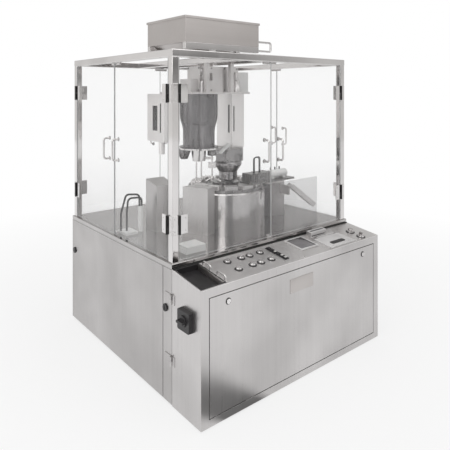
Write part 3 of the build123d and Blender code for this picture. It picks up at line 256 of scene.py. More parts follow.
def build_edge_group():
    """Edges eased by a file: the rounded normal, and a mask along the edges where the finishes paint a
    highlight.
    """
    tree, given, result = new_group("eased_edge", [
        ("Radius", "NodeSocketFloat", 0.0015),
    ], [("Normal", "NodeSocketVector"), ("Mask", "NodeSocketFloat")])
    eased = node(tree, "ShaderNodeBevel", samples=4, inputs={"Radius": given.outputs["Radius"]}).outputs[0]
    flat = node(tree, "ShaderNodeNewGeometry").outputs["Normal"]
    alike = vector_node(tree, "DOT_PRODUCT", eased, flat)
    tree.links.new(eased, result.inputs["Normal"])
    tree.links.new(in_range(tree, alike, 1.0, 0.8), result.inputs["Mask"])
    return tree


def build_knuckle_group():
    """A mask over the knuckle of every door hinge, all on two mirrored lines in plan, where metal finishes
    paint shade.
    """
    tree, _, result = new_group("knuckle_lines", [], [("Mask", "NodeSocketFloat")])
    split = node(tree, "ShaderNodeSeparateXYZ", inputs={0: object_place(tree)})
    across = math_node(tree, "ABSOLUTE", math_node(tree, "SUBTRACT", split.outputs["X"], PLAN_CENTRE_X))
    along = math_node(tree, "ABSOLUTE", math_node(tree, "SUBTRACT", split.outputs["Y"], PLAN_CENTRE_Y))
    plan = node(tree, "ShaderNodeCombineXYZ", inputs={0: across, 1: along}).outputs[0]
    masks = []
    for leaf in ("front_left", "left_front"):
        at = LEAF_JOINTS[leaf]["pos_m"]
        line = (abs(at[0] - PLAN_CENTRE_X), abs(at[1] - PLAN_CENTRE_Y), 0.0)
        away = vector_node(tree, "DISTANCE", plan, line)
        masks.append(math_node(tree, "LESS_THAN", away, KNUCKLE_RADIUS))
    tree.links.new(math_node(tree, "MAXIMUM", *masks), result.inputs["Mask"])
    return tree


def build_sheet_group():
    """A clear sheet: faint on its faces, denser along its sawn edges in a tint that paints their light and
    shade, with a painted reflection of the deck low down.
    """
    tree, given, result = new_group("clear_sheet", [
        ("Wall", "NodeSocketVector", (0.0, 1.0, 0.0)),
        ("Face", "NodeSocketFloat", 0.05),
        ("Edge", "NodeSocketFloat", 0.7),
        ("Haze", "NodeSocketFloat", 0.05),
        ("Haze Bottom", "NodeSocketFloat", 0.73),
        ("Haze Top", "NodeSocketFloat", 1.1),
    ], [("Alpha", "NodeSocketFloat"), ("Edge Mask", "NodeSocketFloat")])
    place = object_place(tree)
    facing = node(tree, "ShaderNodeTexCoord").outputs["Normal"]
    along = vector_node(tree, "DOT_PRODUCT", facing, given.outputs["Wall"])
    edge = math_node(tree, "LESS_THAN", math_node(tree, "ABSOLUTE", along), 0.5)
    # Painted reflection of the deck: low down the sheet is made denser, so more of its pale grey shows,
    # broken by a soft cloud.
    height = node(tree, "ShaderNodeSeparateXYZ", inputs={0: place}).outputs["Z"]
    low = in_range(tree, height, given.outputs["Haze Bottom"], given.outputs["Haze Top"], 1.0, 0.0)
    cloud = noise(tree, place, 1.6, 2.0)
    deck_reflection = math_node(tree, "MULTIPLY", math_node(tree, "MULTIPLY", low, given.outputs["Haze"]),
                     in_range(tree, cloud, 0.3, 0.7, 0.5, 1.5))
    face = math_node(tree, "ADD", given.outputs["Face"], deck_reflection)
    rest = math_node(tree, "MULTIPLY", face, math_node(tree, "SUBTRACT", 1.0, edge))
    total = math_node(tree, "ADD", rest, math_node(tree, "MULTIPLY", edge, given.outputs["Edge"]), clamp=True)
    tree.links.new(total, result.inputs["Alpha"])
    tree.links.new(edge, result.inputs["Edge Mask"])
    return tree


GROUPS = {
    "grain": build_grain_group(),
    "marks": build_marks_group(),
    "edge": build_edge_group(),
    "knuckle": build_knuckle_group(),
    "sheet": build_sheet_group(),
}


def new_finish(name):
    """A material with its node tree and its shader."""
    made = bpy.data.materials.new(name)
    made.use_nodes = True
    return made, made.node_tree, made.node_tree.nodes["Principled BSDF"]


def use_group(tree, key, **inputs):
    """One of the shared groups placed in a material."""
    made = tree.nodes.new("ShaderNodeGroup")
    made.node_tree = GROUPS[key]
    for label, value in inputs.items():
        made.inputs[label.replace("_", " ")].default_value = value
    return made.outputs


def set_sockets(shader, **values):
    """Constants on the shader's own sockets."""
    for label, value in values.items():
        shader.inputs[label.replace("_", " ")].default_value = value


def metal(name, dark, pale, rough, stretch, scale=420.0, bump=0.05, radius=0.0015, knuckle_shade=False,
          grain_share=0.35):
    """A worked metal: belt grain, a cloud of wiping marks, a painted highlight along the eased edges and,
    where asked, painted shade on the hinge knuckle lines.
    """
    made, tree, shader = new_finish(name)
    grain = use_group(tree, "grain", Stretch=stretch, Scale=scale)
    wiped = use_group(tree, "marks", Scale=METAL_MARKS)
    edge = use_group(tree, "edge", Radius=radius)
    blend = math_node(tree, "ADD", math_node(tree, "MULTIPLY", grain["Tone"], grain_share),
                      math_node(tree, "MULTIPLY", wiped["Cloud"], 1.0 - grain_share), clamp=True)
    colour = mixed(tree, blend, dark, pale)
    # Painted highlight: the eased edges are tinted brighter than the pale tone.
    bright = tuple(min(1.0, c * 1.12) for c in pale)
    colour = mixed(tree, math_node(tree, "MULTIPLY", edge["Mask"], 0.7), colour, bright)
    low_rough, high_rough = rough - 0.08 * grain_share, rough + 0.12 * grain_share
    roughness = math_node(tree, "ADD", in_range(tree, grain["Tone"], 0.0, 1.0, low_rough, high_rough),
                          math_node(tree, "MULTIPLY", wiped["Patches"], 0.06))
    # Painted shade: on the hinge knuckle lines the metal is darkened to near black, for the shade in the gap
    # between post and door.
    if knuckle_shade:
        mask = use_group(tree, "knuckle")["Mask"]
        colour = mixed(tree, mask, colour, KNUCKLE_PAINTED_SHADE)
        roughness = math_node(tree, "MAXIMUM", roughness, math_node(tree, "MULTIPLY", mask, 0.4))
    tree.links.new(colour, shader.inputs["Base Color"])
    tree.links.new(roughness, shader.inputs["Roughness"])
    raised = node(tree, "ShaderNodeBump", inputs={
        "Strength": bump, "Distance": 0.0004, "Height": grain["Height"], "Normal": edge["Normal"],
    })
    tree.links.new(raised.outputs[0], shader.inputs["Normal"])
    set_sockets(shader, Metallic=1.0)
    return made


def plastic(name, dark, pale, rough, gloss=0.5, radius=0.001, texture=900.0, bump=0.08):
    """A moulded plastic or paint: fine texture, slight fading, and edges with wear and a painted highlight.
    """
    made, tree, shader = new_finish(name)
    wiped = use_group(tree, "marks", Scale=PLASTIC_MARKS)
    edge = use_group(tree, "edge", Radius=radius)
    colour = mixed(tree, wiped["Cloud"], dark, pale)
    # Edges pulled towards mid grey: wear, and on dark plastics also a painted edge highlight.
    worn_and_highlit = tuple(c * 0.75 + 0.12 for c in pale)
    colour = mixed(tree, math_node(tree, "MULTIPLY", edge["Mask"], 0.35), colour, worn_and_highlit)
    pebble = noise(tree, object_place(tree), texture, 1.0)
    raised = node(tree, "ShaderNodeBump", inputs={
        "Strength": bump, "Distance": 0.0002, "Height": pebble, "Normal": edge["Normal"],
    })
    tree.links.new(colour, shader.inputs["Base Color"])
    roughness = in_range(tree, wiped["Patches"], 0.0, 1.0, rough, rough + 0.12)
    tree.links.new(roughness, shader.inputs["Roughness"])
    tree.links.new(raised.outputs[0], shader.inputs["Normal"])
    set_sockets(shader, Specular_IOR_Level=gloss)
    return made


def clear(name, wall, tint, edge_light_and_shade, face, edge, deck_reflection, top, rough=0.04):
    """A clear or smoked sheet."""
    made, tree, shader = new_finish(name)
    sheet = use_group(tree, "sheet", Wall=wall, Face=face, Edge=edge, Haze=deck_reflection, Haze_Top=top)
    wiped = use_group(tree, "marks", Scale=SHEET_MARKS)
    # Painted light and shade: the sawn edges take their own grey, for how they catch the light.
    tree.links.new(mixed(tree, sheet["Edge Mask"], tint, edge_light_and_shade), shader.inputs["Base Color"])
    roughness = in_range(tree, wiped["Patches"], 0.0, 1.0, rough, rough + 0.05)
    tree.links.new(roughness, shader.inputs["Roughness"])
    tree.links.new(sheet["Alpha"], shader.inputs["Alpha"])
    set_sockets(shader, IOR=1.49, Specular_IOR_Level=0.5)
    return made


def smoked(name, tint, low, high, rough=0.12):
    """A smoked shell that is denser where the light passes through more of it."""
    made, tree, shader = new_finish(name)
    mapping = node(tree, "ShaderNodeMapping", inputs={"Vector": object_place(tree), "Scale": SMOKE_STREAKS})
    cloud = noise(tree, mapping.outputs[0], 1.0, 3.0)
    rim = node(tree, "ShaderNodeLayerWeight", inputs={"Blend": 0.35}).outputs["Facing"]
    tint_pale = tuple(min(1.0, c * 2.6 + 0.04) for c in tint)
    colour = mixed(tree, in_range(tree, cloud, 0.35, 0.7), tint, tint_pale)
    tree.links.new(colour, shader.inputs["Base Color"])
    tree.links.new(in_range(tree, rim, 0.0, 1.0, low, high), shader.inputs["Alpha"])
    tree.links.new(in_range(tree, cloud, 0.3, 0.7, rough, rough + 0.12), shader.inputs["Roughness"])
    set_sockets(shader, IOR=1.49)
    return made


UPRIGHT = (1.0, 1.0, 0.012)
LEVEL = (0.012, 1.0, 1.0)
FINISHES = {
    "panel": metal("brushed_stainless_upright", (0.42, 0.407, 0.403), (0.58, 0.564, 0.560), 0.34, UPRIGHT),
    "console": metal("brushed_stainless_console", (0.48, 0.467, 0.463), (0.66, 0.643, 0.639), 0.29, UPRIGHT),
    "desk": metal("satin_desk", (0.70, 0.684, 0.680), (0.84, 0.822, 0.817), 0.31, LEVEL, bump=0.03,
                  grain_share=0.25),
    "deck": metal("brushed_stainless_deck", (0.43, 0.418, 0.415), (0.58, 0.565, 0.560), 0.15, LEVEL,
                  bump=0.02, grain_share=0.2),
    "tray": metal("brushed_stainless_tray", (0.50, 0.470, 0.458), (0.60, 0.570, 0.556), 0.36, LEVEL),
    "frame": metal("polished_tube", (0.66, 0.644, 0.640), (0.80, 0.781, 0.776), 0.08, UPRIGHT, 260.0, 0.01,
                   0.003, knuckle_shade=True, grain_share=0.15),
    "bright": metal("polished_fittings", (0.64, 0.627, 0.623), (0.82, 0.804, 0.800), 0.07, UPRIGHT, 300.0,
                    0.01, 0.0008, knuckle_shade=True, grain_share=0.1),
    "machined": metal("machined_steel", (0.25, 0.245, 0.244), (0.40, 0.391, 0.389), 0.27, UPRIGHT, 220.0,
                      0.02, grain_share=0.2),
    "alloy": metal("satin_alloy", (0.80, 0.782, 0.778), (0.92, 0.902, 0.897), 0.38, UPRIGHT, 260.0, 0.01,
                   grain_share=0.12),
    "turret": metal("satin_turret", (0.62, 0.604, 0.600), (0.76, 0.742, 0.737), 0.16, UPRIGHT, 260.0, 0.01,
                    grain_share=0.2),
    "castings": metal("satin_castings", (0.62, 0.604, 0.600), (0.76, 0.742, 0.737), 0.33, UPRIGHT, 260.0,
                      0.015, grain_share=0.2),
    "gunmetal": metal("gunmetal_castings", (0.26, 0.254, 0.255), (0.40, 0.390, 0.391), 0.22, UPRIGHT, 260.0,
                      0.015, grain_share=0.2),
    "dark_steel": metal("blackened_steel", (0.03, 0.03, 0.03), (0.07, 0.068, 0.066), 0.34, UPRIGHT, 300.0),
    "black": plastic("black_moulding", (0.012, 0.011, 0.012), (0.028, 0.026, 0.028), 0.35),
    "white": plastic("white_moulding", (0.80, 0.80, 0.79), (0.89, 0.89, 0.88), 0.35),
    "dome": metal("domed_chrome", (0.50, 0.478, 0.476), (0.66, 0.636, 0.632), 0.07, LEVEL, 300.0, 0.01,
                  0.0008, grain_share=0.1),
    "screen": plastic("dark_glass", (0.035, 0.034, 0.035), (0.06, 0.058, 0.059), 0.10, 0.6, bump=0.0),
    "display": plastic("grey_display", (0.17, 0.163, 0.168), (0.24, 0.230, 0.236), 0.12, 0.6, bump=0.0),
    "enamel": plastic("pale_enamel", (0.60, 0.588, 0.584), (0.70, 0.687, 0.682), 0.30),
    "ivory": plastic("pale_key_caps", (0.60, 0.59, 0.57), (0.72, 0.71, 0.69), 0.4),
    "rubber": plastic("black_rubber", (0.018, 0.018, 0.018), (0.035, 0.034, 0.033), 0.6, 0.3),
    "paint": plastic("frame_paint", (0.10, 0.105, 0.11), (0.14, 0.145, 0.15), 0.4, 0.5, texture=300.0),
    # The side and front acrylic differ, besides their wall direction, only in painted light: side sheets have
    # darker edges and more painted deck reflection, front and rear sheets paler edges.
    "wall_x": clear("clear_acrylic_side", (1.0, 0.0, 0.0), (0.80, 0.80, 0.80), (0.42, 0.43, 0.43),
                    0.035, 0.75, 0.10, 1.15),
    "wall_y": clear("clear_acrylic_front", (0.0, 1.0, 0.0), (0.80, 0.80, 0.80), (0.66, 0.66, 0.66),
                    0.035, 0.75, 0.06, 1.15),
    "hopper": smoked("smoked_hopper", (0.150, 0.141, 0.145), 0.44, 0.88),
    "guard": smoked("smoked_guard", (0.17, 0.163, 0.166), 0.12, 0.46, 0.05),
}

NODE_FINISH = {
    "panel": ["left_side_panel", "left_corner_door", "fixed_panels"],
    "console": ["console_shell", "console_front_panel", "station_housings"],
    "enamel": ["recorder_lid"],
    "gunmetal": ["capsule_loader", "loading_drum"],
    "castings": ["feed_head"],
    "desk": ["console_desk"],
    "deck": ["deck_plate"],
    "tray": ["capsule_tray"],
    "frame": ["enclosure_frame"],
    "bright": ["hopper_outlet", "hopper_stirrer", "plunger_head", "indicator_lamps", "push_button_1",
               "push_button_2", "push_button_3", "push_button_4"],
    "turret": ["turret_base"],
    "machined": ["turntable", "cam_shaft", "filling_block"],
    "alloy": ["capsule_segments", "capsule_magazines", "discharge_chute"],
    "black": ["black_tray", "left_side_lock", "left_corner_lock", "main_switch_handle", "main_switch_box",
              "operator_panel"],
    "white": ["white_covers"],
    "dome": ["emergency_stop", "selector_knob"],
    "rubber": ["air_lines", "leveling_feet"],
    "paint": ["base_frame", "main_drive"],
    "hopper": ["powder_hopper"],
    "guard": ["turret_guard"],
}


def finish_cad_nodes():
    """Gives each carried-over piece its material."""
    wanted = {name: key for key, names in NODE_FINISH.items() for name in names}
    for leaf in DOOR_LEAVES:
        wanted[leaf + "_door"] = "wall_y" if leaf.startswith(("front", "rear")) else "wall_x"
        wanted[leaf + "_door_fittings"] = "bright"
    for name, piece in frame["nodes"].items():
        for place in piece.material_slots:
            place.material = FINISHES[wanted[name]]


def settle(piece, body, slot):
    """Ties a finished piece to its body and to the record's material slot."""
    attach(piece, body)
    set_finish(piece, slot)
    return piece


def mesh_piece(name, mesh, finish, body, slot, smooth=None):
    """Puts a mesh in the scene as a piece, its place in its vertices."""
    piece = bpy.data.objects.new(name, mesh)
    bpy.context.scene.collection.objects.link(piece)
    mesh.materials.clear()
    mesh.materials.append(FINISHES[finish])
    if smooth is not None:
        mesh.shade_smooth()
        mesh.set_sharp_from_angle(angle=math.radians(smooth))
    return settle(piece, body, slot)


def basis(outward):
    """Axes with z along outward and y as near to upright as it can be."""
    z_axis = Vector(outward).normalized()
    x_axis = Vector((0.0, 0.0, 1.0)).cross(z_axis)
    if x_axis.length < 1e-6:
        x_axis = Vector((1.0, 0.0, 0.0))
    x_axis.normalize()
    return Matrix((x_axis, z_axis.cross(x_axis), z_axis)).transposed().to_4x4()


def fastener_tree():
    """Slotted heads set on points, each turned to its own outward direction."""
    tree = bpy.data.node_groups.new("slotted_heads", "GeometryNodeTree")
    for label, kind, value in (
        ("Geometry", "NodeSocketGeometry", None),
        ("Head Radius", "NodeSocketFloat", 0.004),
        ("Head Height", "NodeSocketFloat", 0.0022),
        ("Slot Width", "NodeSocketFloat", 0.0012),
        ("Finish", "NodeSocketMaterial", None),
    ):
        socket = tree.interface.new_socket(label, in_out="INPUT", socket_type=kind)
        if value is not None:
            socket.default_value = value
    tree.interface.new_socket("Geometry", in_out="OUTPUT", socket_type="NodeSocketGeometry")
    given, result = tree.nodes.new("NodeGroupInput"), tree.nodes.new("NodeGroupOutput")
    head = node(tree, "GeometryNodeMeshCylinder", inputs={
        "Vertices": 20, "Radius": given.outputs["Head Radius"], "Depth": given.outputs["Head Height"],
    })
    width = math_node(tree, "MULTIPLY", given.outputs["Head Radius"], 3.0)
    slot_size = node(tree, "ShaderNodeCombineXYZ", inputs={
        0: width, 1: given.outputs["Slot Width"], 2: given.outputs["Head Height"],
    }).outputs[0]
    slot = node(tree, "GeometryNodeMeshCube", inputs={"Size": slot_size})
    lift = math_node(tree, "MULTIPLY", given.outputs["Head Height"], 0.6)
    raised = node(tree, "ShaderNodeCombineXYZ", inputs={2: lift}).outputs[0]
    moved = node(tree, "GeometryNodeTransform", inputs={
        "Geometry": slot.outputs["Mesh"], "Translation": raised,
    })
    cut = node(tree, "GeometryNodeMeshBoolean", operation="DIFFERENCE", inputs={
        "Mesh 1": head.outputs["Mesh"], "Mesh 2": moved.outputs["Geometry"],
    })
    out = node(tree, "GeometryNodeInputNamedAttribute", data_type="FLOAT_VECTOR", inputs={"Name": "outward"})
    turn = node(tree, "FunctionNodeAlignRotationToVector", axis="Z", inputs={
        "Vector": out.outputs["Attribute"],
    })
    spread = node(tree, "FunctionNodeRandomValue", data_type="FLOAT", inputs={"Seed": 7})
    spread.inputs[3].default_value = 3.14
    own_turn = node(tree, "ShaderNodeCombineXYZ", inputs={2: spread.outputs[1]}).outputs[0]
    spun = node(tree, "FunctionNodeRotateRotation", rotation_space="LOCAL", inputs={
        "Rotation": turn.outputs["Rotation"], "Rotate By": own_turn,
    })
    placed = node(tree, "GeometryNodeInstanceOnPoints", inputs={
        "Points": given.outputs["Geometry"], "Instance": cut.outputs["Mesh"],
        "Rotation": spun.outputs["Rotation"],
    })
    real = node(tree, "GeometryNodeRealizeInstances", inputs={"Geometry": placed.outputs["Instances"]})
    dressed = node(tree, "GeometryNodeSetMaterial", inputs={
        "Geometry": real.outputs["Geometry"], "Material": given.outputs["Finish"],
    })
    tree.links.new(dressed.outputs["Geometry"], result.inputs["Geometry"])
    return tree


FASTENER_TREE = fastener_tree()


def fasteners(name, body, slot, finish, places, radius, height):
    """Screw heads on the given points, in one mesh. Each place is a point and an outward direction."""
    points = bpy.data.meshes.new(name + "_points")
    points.from_pydata([tuple(Vector(at) + Vector(out) * height * 0.45) for at, out in places], [], [])
    outward = points.attributes.new("outward", "FLOAT_VECTOR", "POINT")
    for index, (_, out) in enumerate(places):
        outward.data[index].vector = out
    holder = bpy.data.objects.new(name + "_points", points)
    bpy.context.scene.collection.objects.link(holder)
    modifier = holder.modifiers.new("heads", "NODES")
    modifier.node_group = FASTENER_TREE
    wanted = {
        "Head Radius": radius, "Head Height": height, "Slot Width": radius * 0.3,
        "Finish": FINISHES[finish],
    }
    for item in FASTENER_TREE.interface.items_tree:
        if item.in_out == "INPUT" and item.name in wanted:
            modifier[item.identifier] = wanted[item.name]
    evaluated = holder.evaluated_get(bpy.context.evaluated_depsgraph_get())
    mesh = bpy.data.meshes.new_from_object(evaluated)
    bpy.data.objects.remove(holder)
    return mesh_piece(name, mesh, finish, body, slot, smooth=35)


def lathe(name, profile, place, outward, finish, body, slot, steps=32):
    """A turned piece: its profile is (radius, height) pairs, lowest first, closed at the axis."""
    shape = bmesh.new()
    rings = []
    for radius, height in profile:
        if radius < 1e-6:
            rings.append([shape.verts.new((0.0, 0.0, height))])
            continue
        rings.append([
            shape.verts.new((radius * math.cos(a), radius * math.sin(a), height))
            for a in (2 * math.pi * k / steps for k in range(steps))
        ])
    for low, high in zip(rings, rings[1:]):
        for k in range(steps):
            after = k + 1
            corners = [low[k % len(low)], low[after % len(low)], high[after % len(high)], high[k % len(high)]]
            shape.faces.new(list(dict.fromkeys(corners)))
    bmesh.ops.recalc_face_normals(shape, faces=shape.faces)
    shape.transform(Matrix.Translation(Vector(place)) @ basis(outward))
    mesh = bpy.data.meshes.new(name)
    shape.to_mesh(mesh)
    shape.free()
    return mesh_piece(name, mesh, finish, body, slot, smooth=40)


def eased_block(name, low, high, finish, body, slot, ease=0.0015, turn=None, about=None):
    """A block between two corners with rounded edges, turned about a point where one is given."""
    shape = bmesh.new()
    bmesh.ops.create_cube(shape, size=1.0)
    low, high = Vector(low), Vector(high)
    bmesh.ops.scale(shape, vec=high - low, verts=shape.verts)
    bmesh.ops.translate(shape, vec=(low + high) / 2, verts=shape.verts)
    bmesh.ops.bevel(shape, geom=shape.edges[:], offset=ease, segments=2, affect="EDGES", profile=0.5)
    if turn is not None:
        pivot = Matrix.Translation(Vector(about))
        shape.transform(pivot @ turn @ pivot.inverted())
    mesh = bpy.data.meshes.new(name)
    shape.to_mesh(mesh)
    shape.free()
    return mesh_piece(name, mesh, finish, body, slot, smooth=40)


def bar(name, start, end, radius, finish, body, slot):
    """A round bar between two places, its ends broken by a small chamfer."""
    length = (Vector(end) - Vector(start)).length
    chamfer = radius * 0.2
    profile = [(0.0, 0.0), (radius - chamfer, 0.0), (radius, chamfer), (radius, length - chamfer),
               (radius - chamfer, length), (0.0, length)]
    return lathe(name, profile, start, Vector(end) - Vector(start), finish, body, slot, steps=20)


def ball(name, place, radius, finish, body, slot):
    """A turned ball knob."""
    angles = [math.pi * k / 10 for k in range(11)]
    profile = [(radius * math.sin(angle), -radius * math.cos(angle)) for angle in angles]
    return lathe(name, profile, place, (0.0, 0.0, 1.0), finish, body, slot, steps=20)


def inside(x, y, z):
    """A place measured from the machine's centre line."""
    return CENTRE_LINE + Vector((x, y, z))


def joined(name, pieces):
    """Several pieces of one body and one finish as one mesh."""
    shape = bmesh.new()
    for piece in pieces:
        shape.from_mesh(piece.data)
    first = pieces[0]
    material = first.data.materials[0]
    body, slot = first["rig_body"], first["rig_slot"]
    for piece in pieces:
        bpy.data.objects.remove(piece)
    mesh = bpy.data.meshes.new(name)
    shape.to_mesh(mesh)
    shape.free()
    mesh.materials.append(material)
    made = bpy.data.objects.new(name, mesh)
    bpy.context.scene.collection.objects.link(made)
    mesh.shade_smooth()
    mesh.set_sharp_from_angle(angle=math.radians(40))
    return settle(made, body, slot)


def door_outward(leaf):
    """The direction that a door faces, from the thin side of its sheet."""
    low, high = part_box(leaf + "_door")
    size = high - low
    middle = (low + high) / 2
    if size.x < size.y:
        return Vector((math.copysign(1.0, middle.x - PLAN_CENTRE_X), 0.0, 0.0))
    return Vector((0.0, math.copysign(1.0, middle.y - PLAN_CENTRE_Y), 0.0))


def make_hinge_screws():
    """Two screws in each hinge leaf, on the post and on the door."""
    on_posts = []
    for leaf in DOOR_LEAVES:
        outward = door_outward(leaf)
        sheet_low, sheet_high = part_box(leaf + "_door")
        fittings_low, fittings_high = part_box(leaf + "_door_fittings")
        centre = (sheet_low + sheet_high) / 2
        face = max((sheet_low.dot(outward), sheet_high.dot(outward))) + HINGE_LEAF_THICK
        line = Vector(LEAF_JOINTS[leaf]["pos_m"])
        way = centre - line
        way.z = 0.0
        way = (way - outward * way.dot(outward)).normalized()
        on_door = []
        for low in (fittings_low.z, fittings_high.z - HINGE_HEIGHT):
            for rise in (-SCREW_RISE, SCREW_RISE):
                level = low + HINGE_HEIGHT / 2 + rise
                for offset, places in ((DOOR_LEAF_SCREW, on_door), (-POST_LEAF_SCREW, on_posts)):
                    at = line + way * offset
                    at = at - outward * at.dot(outward) + outward * face
                    at.z = level
                    places.append((tuple(at), tuple(outward)))
        fasteners(leaf + "_hinge_screws", leaf + "_leaf", "polished", "bright", on_door, *HINGE_SCREW)
    fasteners("post_hinge_screws", ROOT, "polished", "bright", on_posts, *HINGE_SCREW)


def make_front_panel_trim():
    """The bare plate and the two quarter-turn fasteners on the console's front panel."""
    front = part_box("console_front_panel")[0].y
    body, slot, out = "console_front_panel_body", "stainless", (0, -1, 0)
    left, right = (PLAN_CENTRE_X + x for x in PLATE_X)
    low, high = PLATE_Z
    corners = (left, front - PLATE_THICK, low), (right, front, high)
    eased_block("maker_plate_bare", *corners, "tray", body, slot, 0.0006)
    plate_screws = [
        ((x, front - PLATE_THICK, z), out)
        for x in (left + PLATE_SCREW_INSET, right - PLATE_SCREW_INSET)
        for z in (low + PLATE_SCREW_INSET, high - PLATE_SCREW_INSET)
    ]
    fasteners("maker_plate_screws", body, "polished", "bright", plate_screws, *PLATE_SCREW)
    knobs = [((PLAN_CENTRE_X + x, front, QUARTER_TURN_Z), out) for x in (-QUARTER_TURN_X, QUARTER_TURN_X)]
    fasteners("quarter_turn_heads", body, "polished", "bright", knobs, *QUARTER_TURN)
    washers = [lathe("washer", WASHER, at, out, "dark_steel", body, slot) for at, out in knobs]
    joined("quarter_turn_washers", washers)


def desk_point(x, along, above=0.0):
    """A point on the sloping desk: along from its front edge, above its face."""
    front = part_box("console_desk")[0].y
    back, up = math.cos(DESK_ANGLE), math.sin(DESK_ANGLE)
    return Vector((x, front + back * along - up * above, DESK_LOW + up * along + back * above))


# Turned profiles, as radius and height
WASHER = [(0.0, 0.0), (0.0165, 0.0), (0.0165, 0.0012), (0.0145, 0.0022), (0.0, 0.0022)]
BEZEL = [
    (0.0125, 0.0058), (0.0168, 0.0058), (0.0172, 0.0085),
    (0.0160, 0.0100), (0.0128, 0.0100), (0.0125, 0.0058),
]
BASE_RING = [
    (0.0172, 0.0002), (0.0225, 0.0002), (0.0225, 0.0022),
    (0.0210, 0.0032), (0.0180, 0.0032), (0.0172, 0.0002),
]
GASKET = [(0.0094, 0.0001), (0.0120, 0.0001), (0.0120, 0.0014), (0.0094, 0.0014), (0.0094, 0.0001)]
GEAR_CASE = [
    (0.0, 0.0), (0.022, 0.0), (0.026, 0.004), (0.042, 0.046), (0.044, 0.050), (0.044, 0.066), (0.0, 0.066),
]


def make_desk_trim():
    """Chrome bezels and black rings round the controls, and the desk plate's screws."""
    bezels, rings = [], []
    grid = [(low.x + high.x) / 2 for low, high in (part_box(f"push_button_{n}") for n in (1, 2, 3, 4))]
    for x in grid:
        for along in CONTROL_ROWS:
            at = desk_point(x, along)
            bezels.append(lathe("bezel", BEZEL, at, DESK_OUT, "bright", ROOT, "polished"))
            rings.append(lathe("ring", BASE_RING, at, DESK_OUT, "black", ROOT, "black_plastic"))
    for along in (STOP_ALONG, SELECTOR_ALONG):
        at = desk_point(PLAN_CENTRE_X + STOP_ACROSS, along)
        profile = [(r + 0.0062, h * 0.8) for r, h in BASE_RING]
        rings.append(lathe("ring", profile, at, DESK_OUT, "black", ROOT, "black_plastic"))
    joined("control_bezels", bezels)
    joined("control_base_rings", rings)
    places = []
    for x in DESK_SCREWS_X:
        for along in DESK_SCREWS_ALONG:
            places.append((tuple(desk_point(PLAN_CENTRE_X + x, along)), tuple(DESK_OUT)))
    fasteners("desk_plate_screws", ROOT, "polished", "bright", places, *DESK_SCREW)


def desk_block(name, across, along, above, finish, body, slot, ease=0.0004):
    """A block lying on the sloping desk: across from the centre line, along from the front edge."""
    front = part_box("console_desk")[0].y
    lower = (CENTRE_LINE.x + across[0], front + along[0], DESK_LOW + above[0])
    upper = (CENTRE_LINE.x + across[1], front + along[1], DESK_LOW + above[1])
    turn = Matrix.Rotation(DESK_ANGLE, 4, "X")
    return eased_block(name, lower, upper, finish, body, slot, ease, turn, (0.0, front, DESK_LOW))


def widened(span, by):
    """A span made longer at both ends."""
    return span[0] - by, span[1] + by


def make_display():
    """The grey display in its bright surround, and the pale key caps."""
    glass_x, glass_along = widened(SCREEN_X, -0.0125), widened(SCREEN_ALONG, -0.0125)
    desk_block("display_glass", glass_x, glass_along, (0.0046, 0.0054), "display", ROOT, "screen")
    width = SURROUND_WIDTH
    (left, right), (near, far) = widened(SCREEN_X, 0.0008), widened(SCREEN_ALONG, 0.0008)
    between = (left + width, right - width)
    rails = [
        desk_block("rail", across, along, (0.0005, 0.0078), "enamel", ROOT, "stainless")
        for across, along in (
            ((left, left + width), (near, far)), ((right - width, right), (near, far)),
            (between, (near, near + width)), (between, (far - width, far)),
        )
    ]
    joined("display_surround", rails)
    pitch = (KEYS_ALONG[1] - KEYS_ALONG[0]) / KEY_COUNT
    caps = []
    for index in PALE_KEYS:
        along = widened((KEYS_ALONG[0] + index * pitch, KEYS_ALONG[0] + (index + 1) * pitch), -0.007)
        caps.append(desk_block("cap", KEYS_X, along, (0.0080, 0.0090), "ivory", ROOT, "white_plastic"))
    joined("pale_keys", caps)


def make_recorder_slots():
    """The recorder's two slots, in its front and in its top: black blocks that paint the shade inside the
    openings.
    """
    near = RECORDER_ALONG[0]
    top = RECORDER_HEIGHT + COVER_LIFT
    # Painted shade: black blocks where the slots open into the recorder.
    slots = [
        desk_block("slot", widened(RECORDER_X, -0.013), along, above, "black", ROOT, "black_plastic")
        for along, above in (
            ((near + 0.0002, near + 0.013), (0.0093, 0.0147)),
            ((near + 0.013, near + 0.024), (top + 0.001, top + 0.0016)),
        )
    ]
    joined("recorder_slots_shade", slots)


def make_recorder_cover():
    """The recorder's pale cover, open where the front slot is."""
    near, far = RECORDER_ALONG
    top = RECORDER_HEIGHT + COVER_LIFT
    cover = [
        desk_block("plate", widened(RECORDER_X, 0.001), along, above, "enamel", ROOT, "stainless")
        for along, above in (
            ((near - 0.001, far + 0.0008), (top, top + 0.001)),
            ((near - 0.001, near - 0.0001), (0.0151, top)),
            ((near - 0.001, near - 0.0001), (0.0005, 0.0089)),
        )
    ]
    joined("recorder_cover", cover)


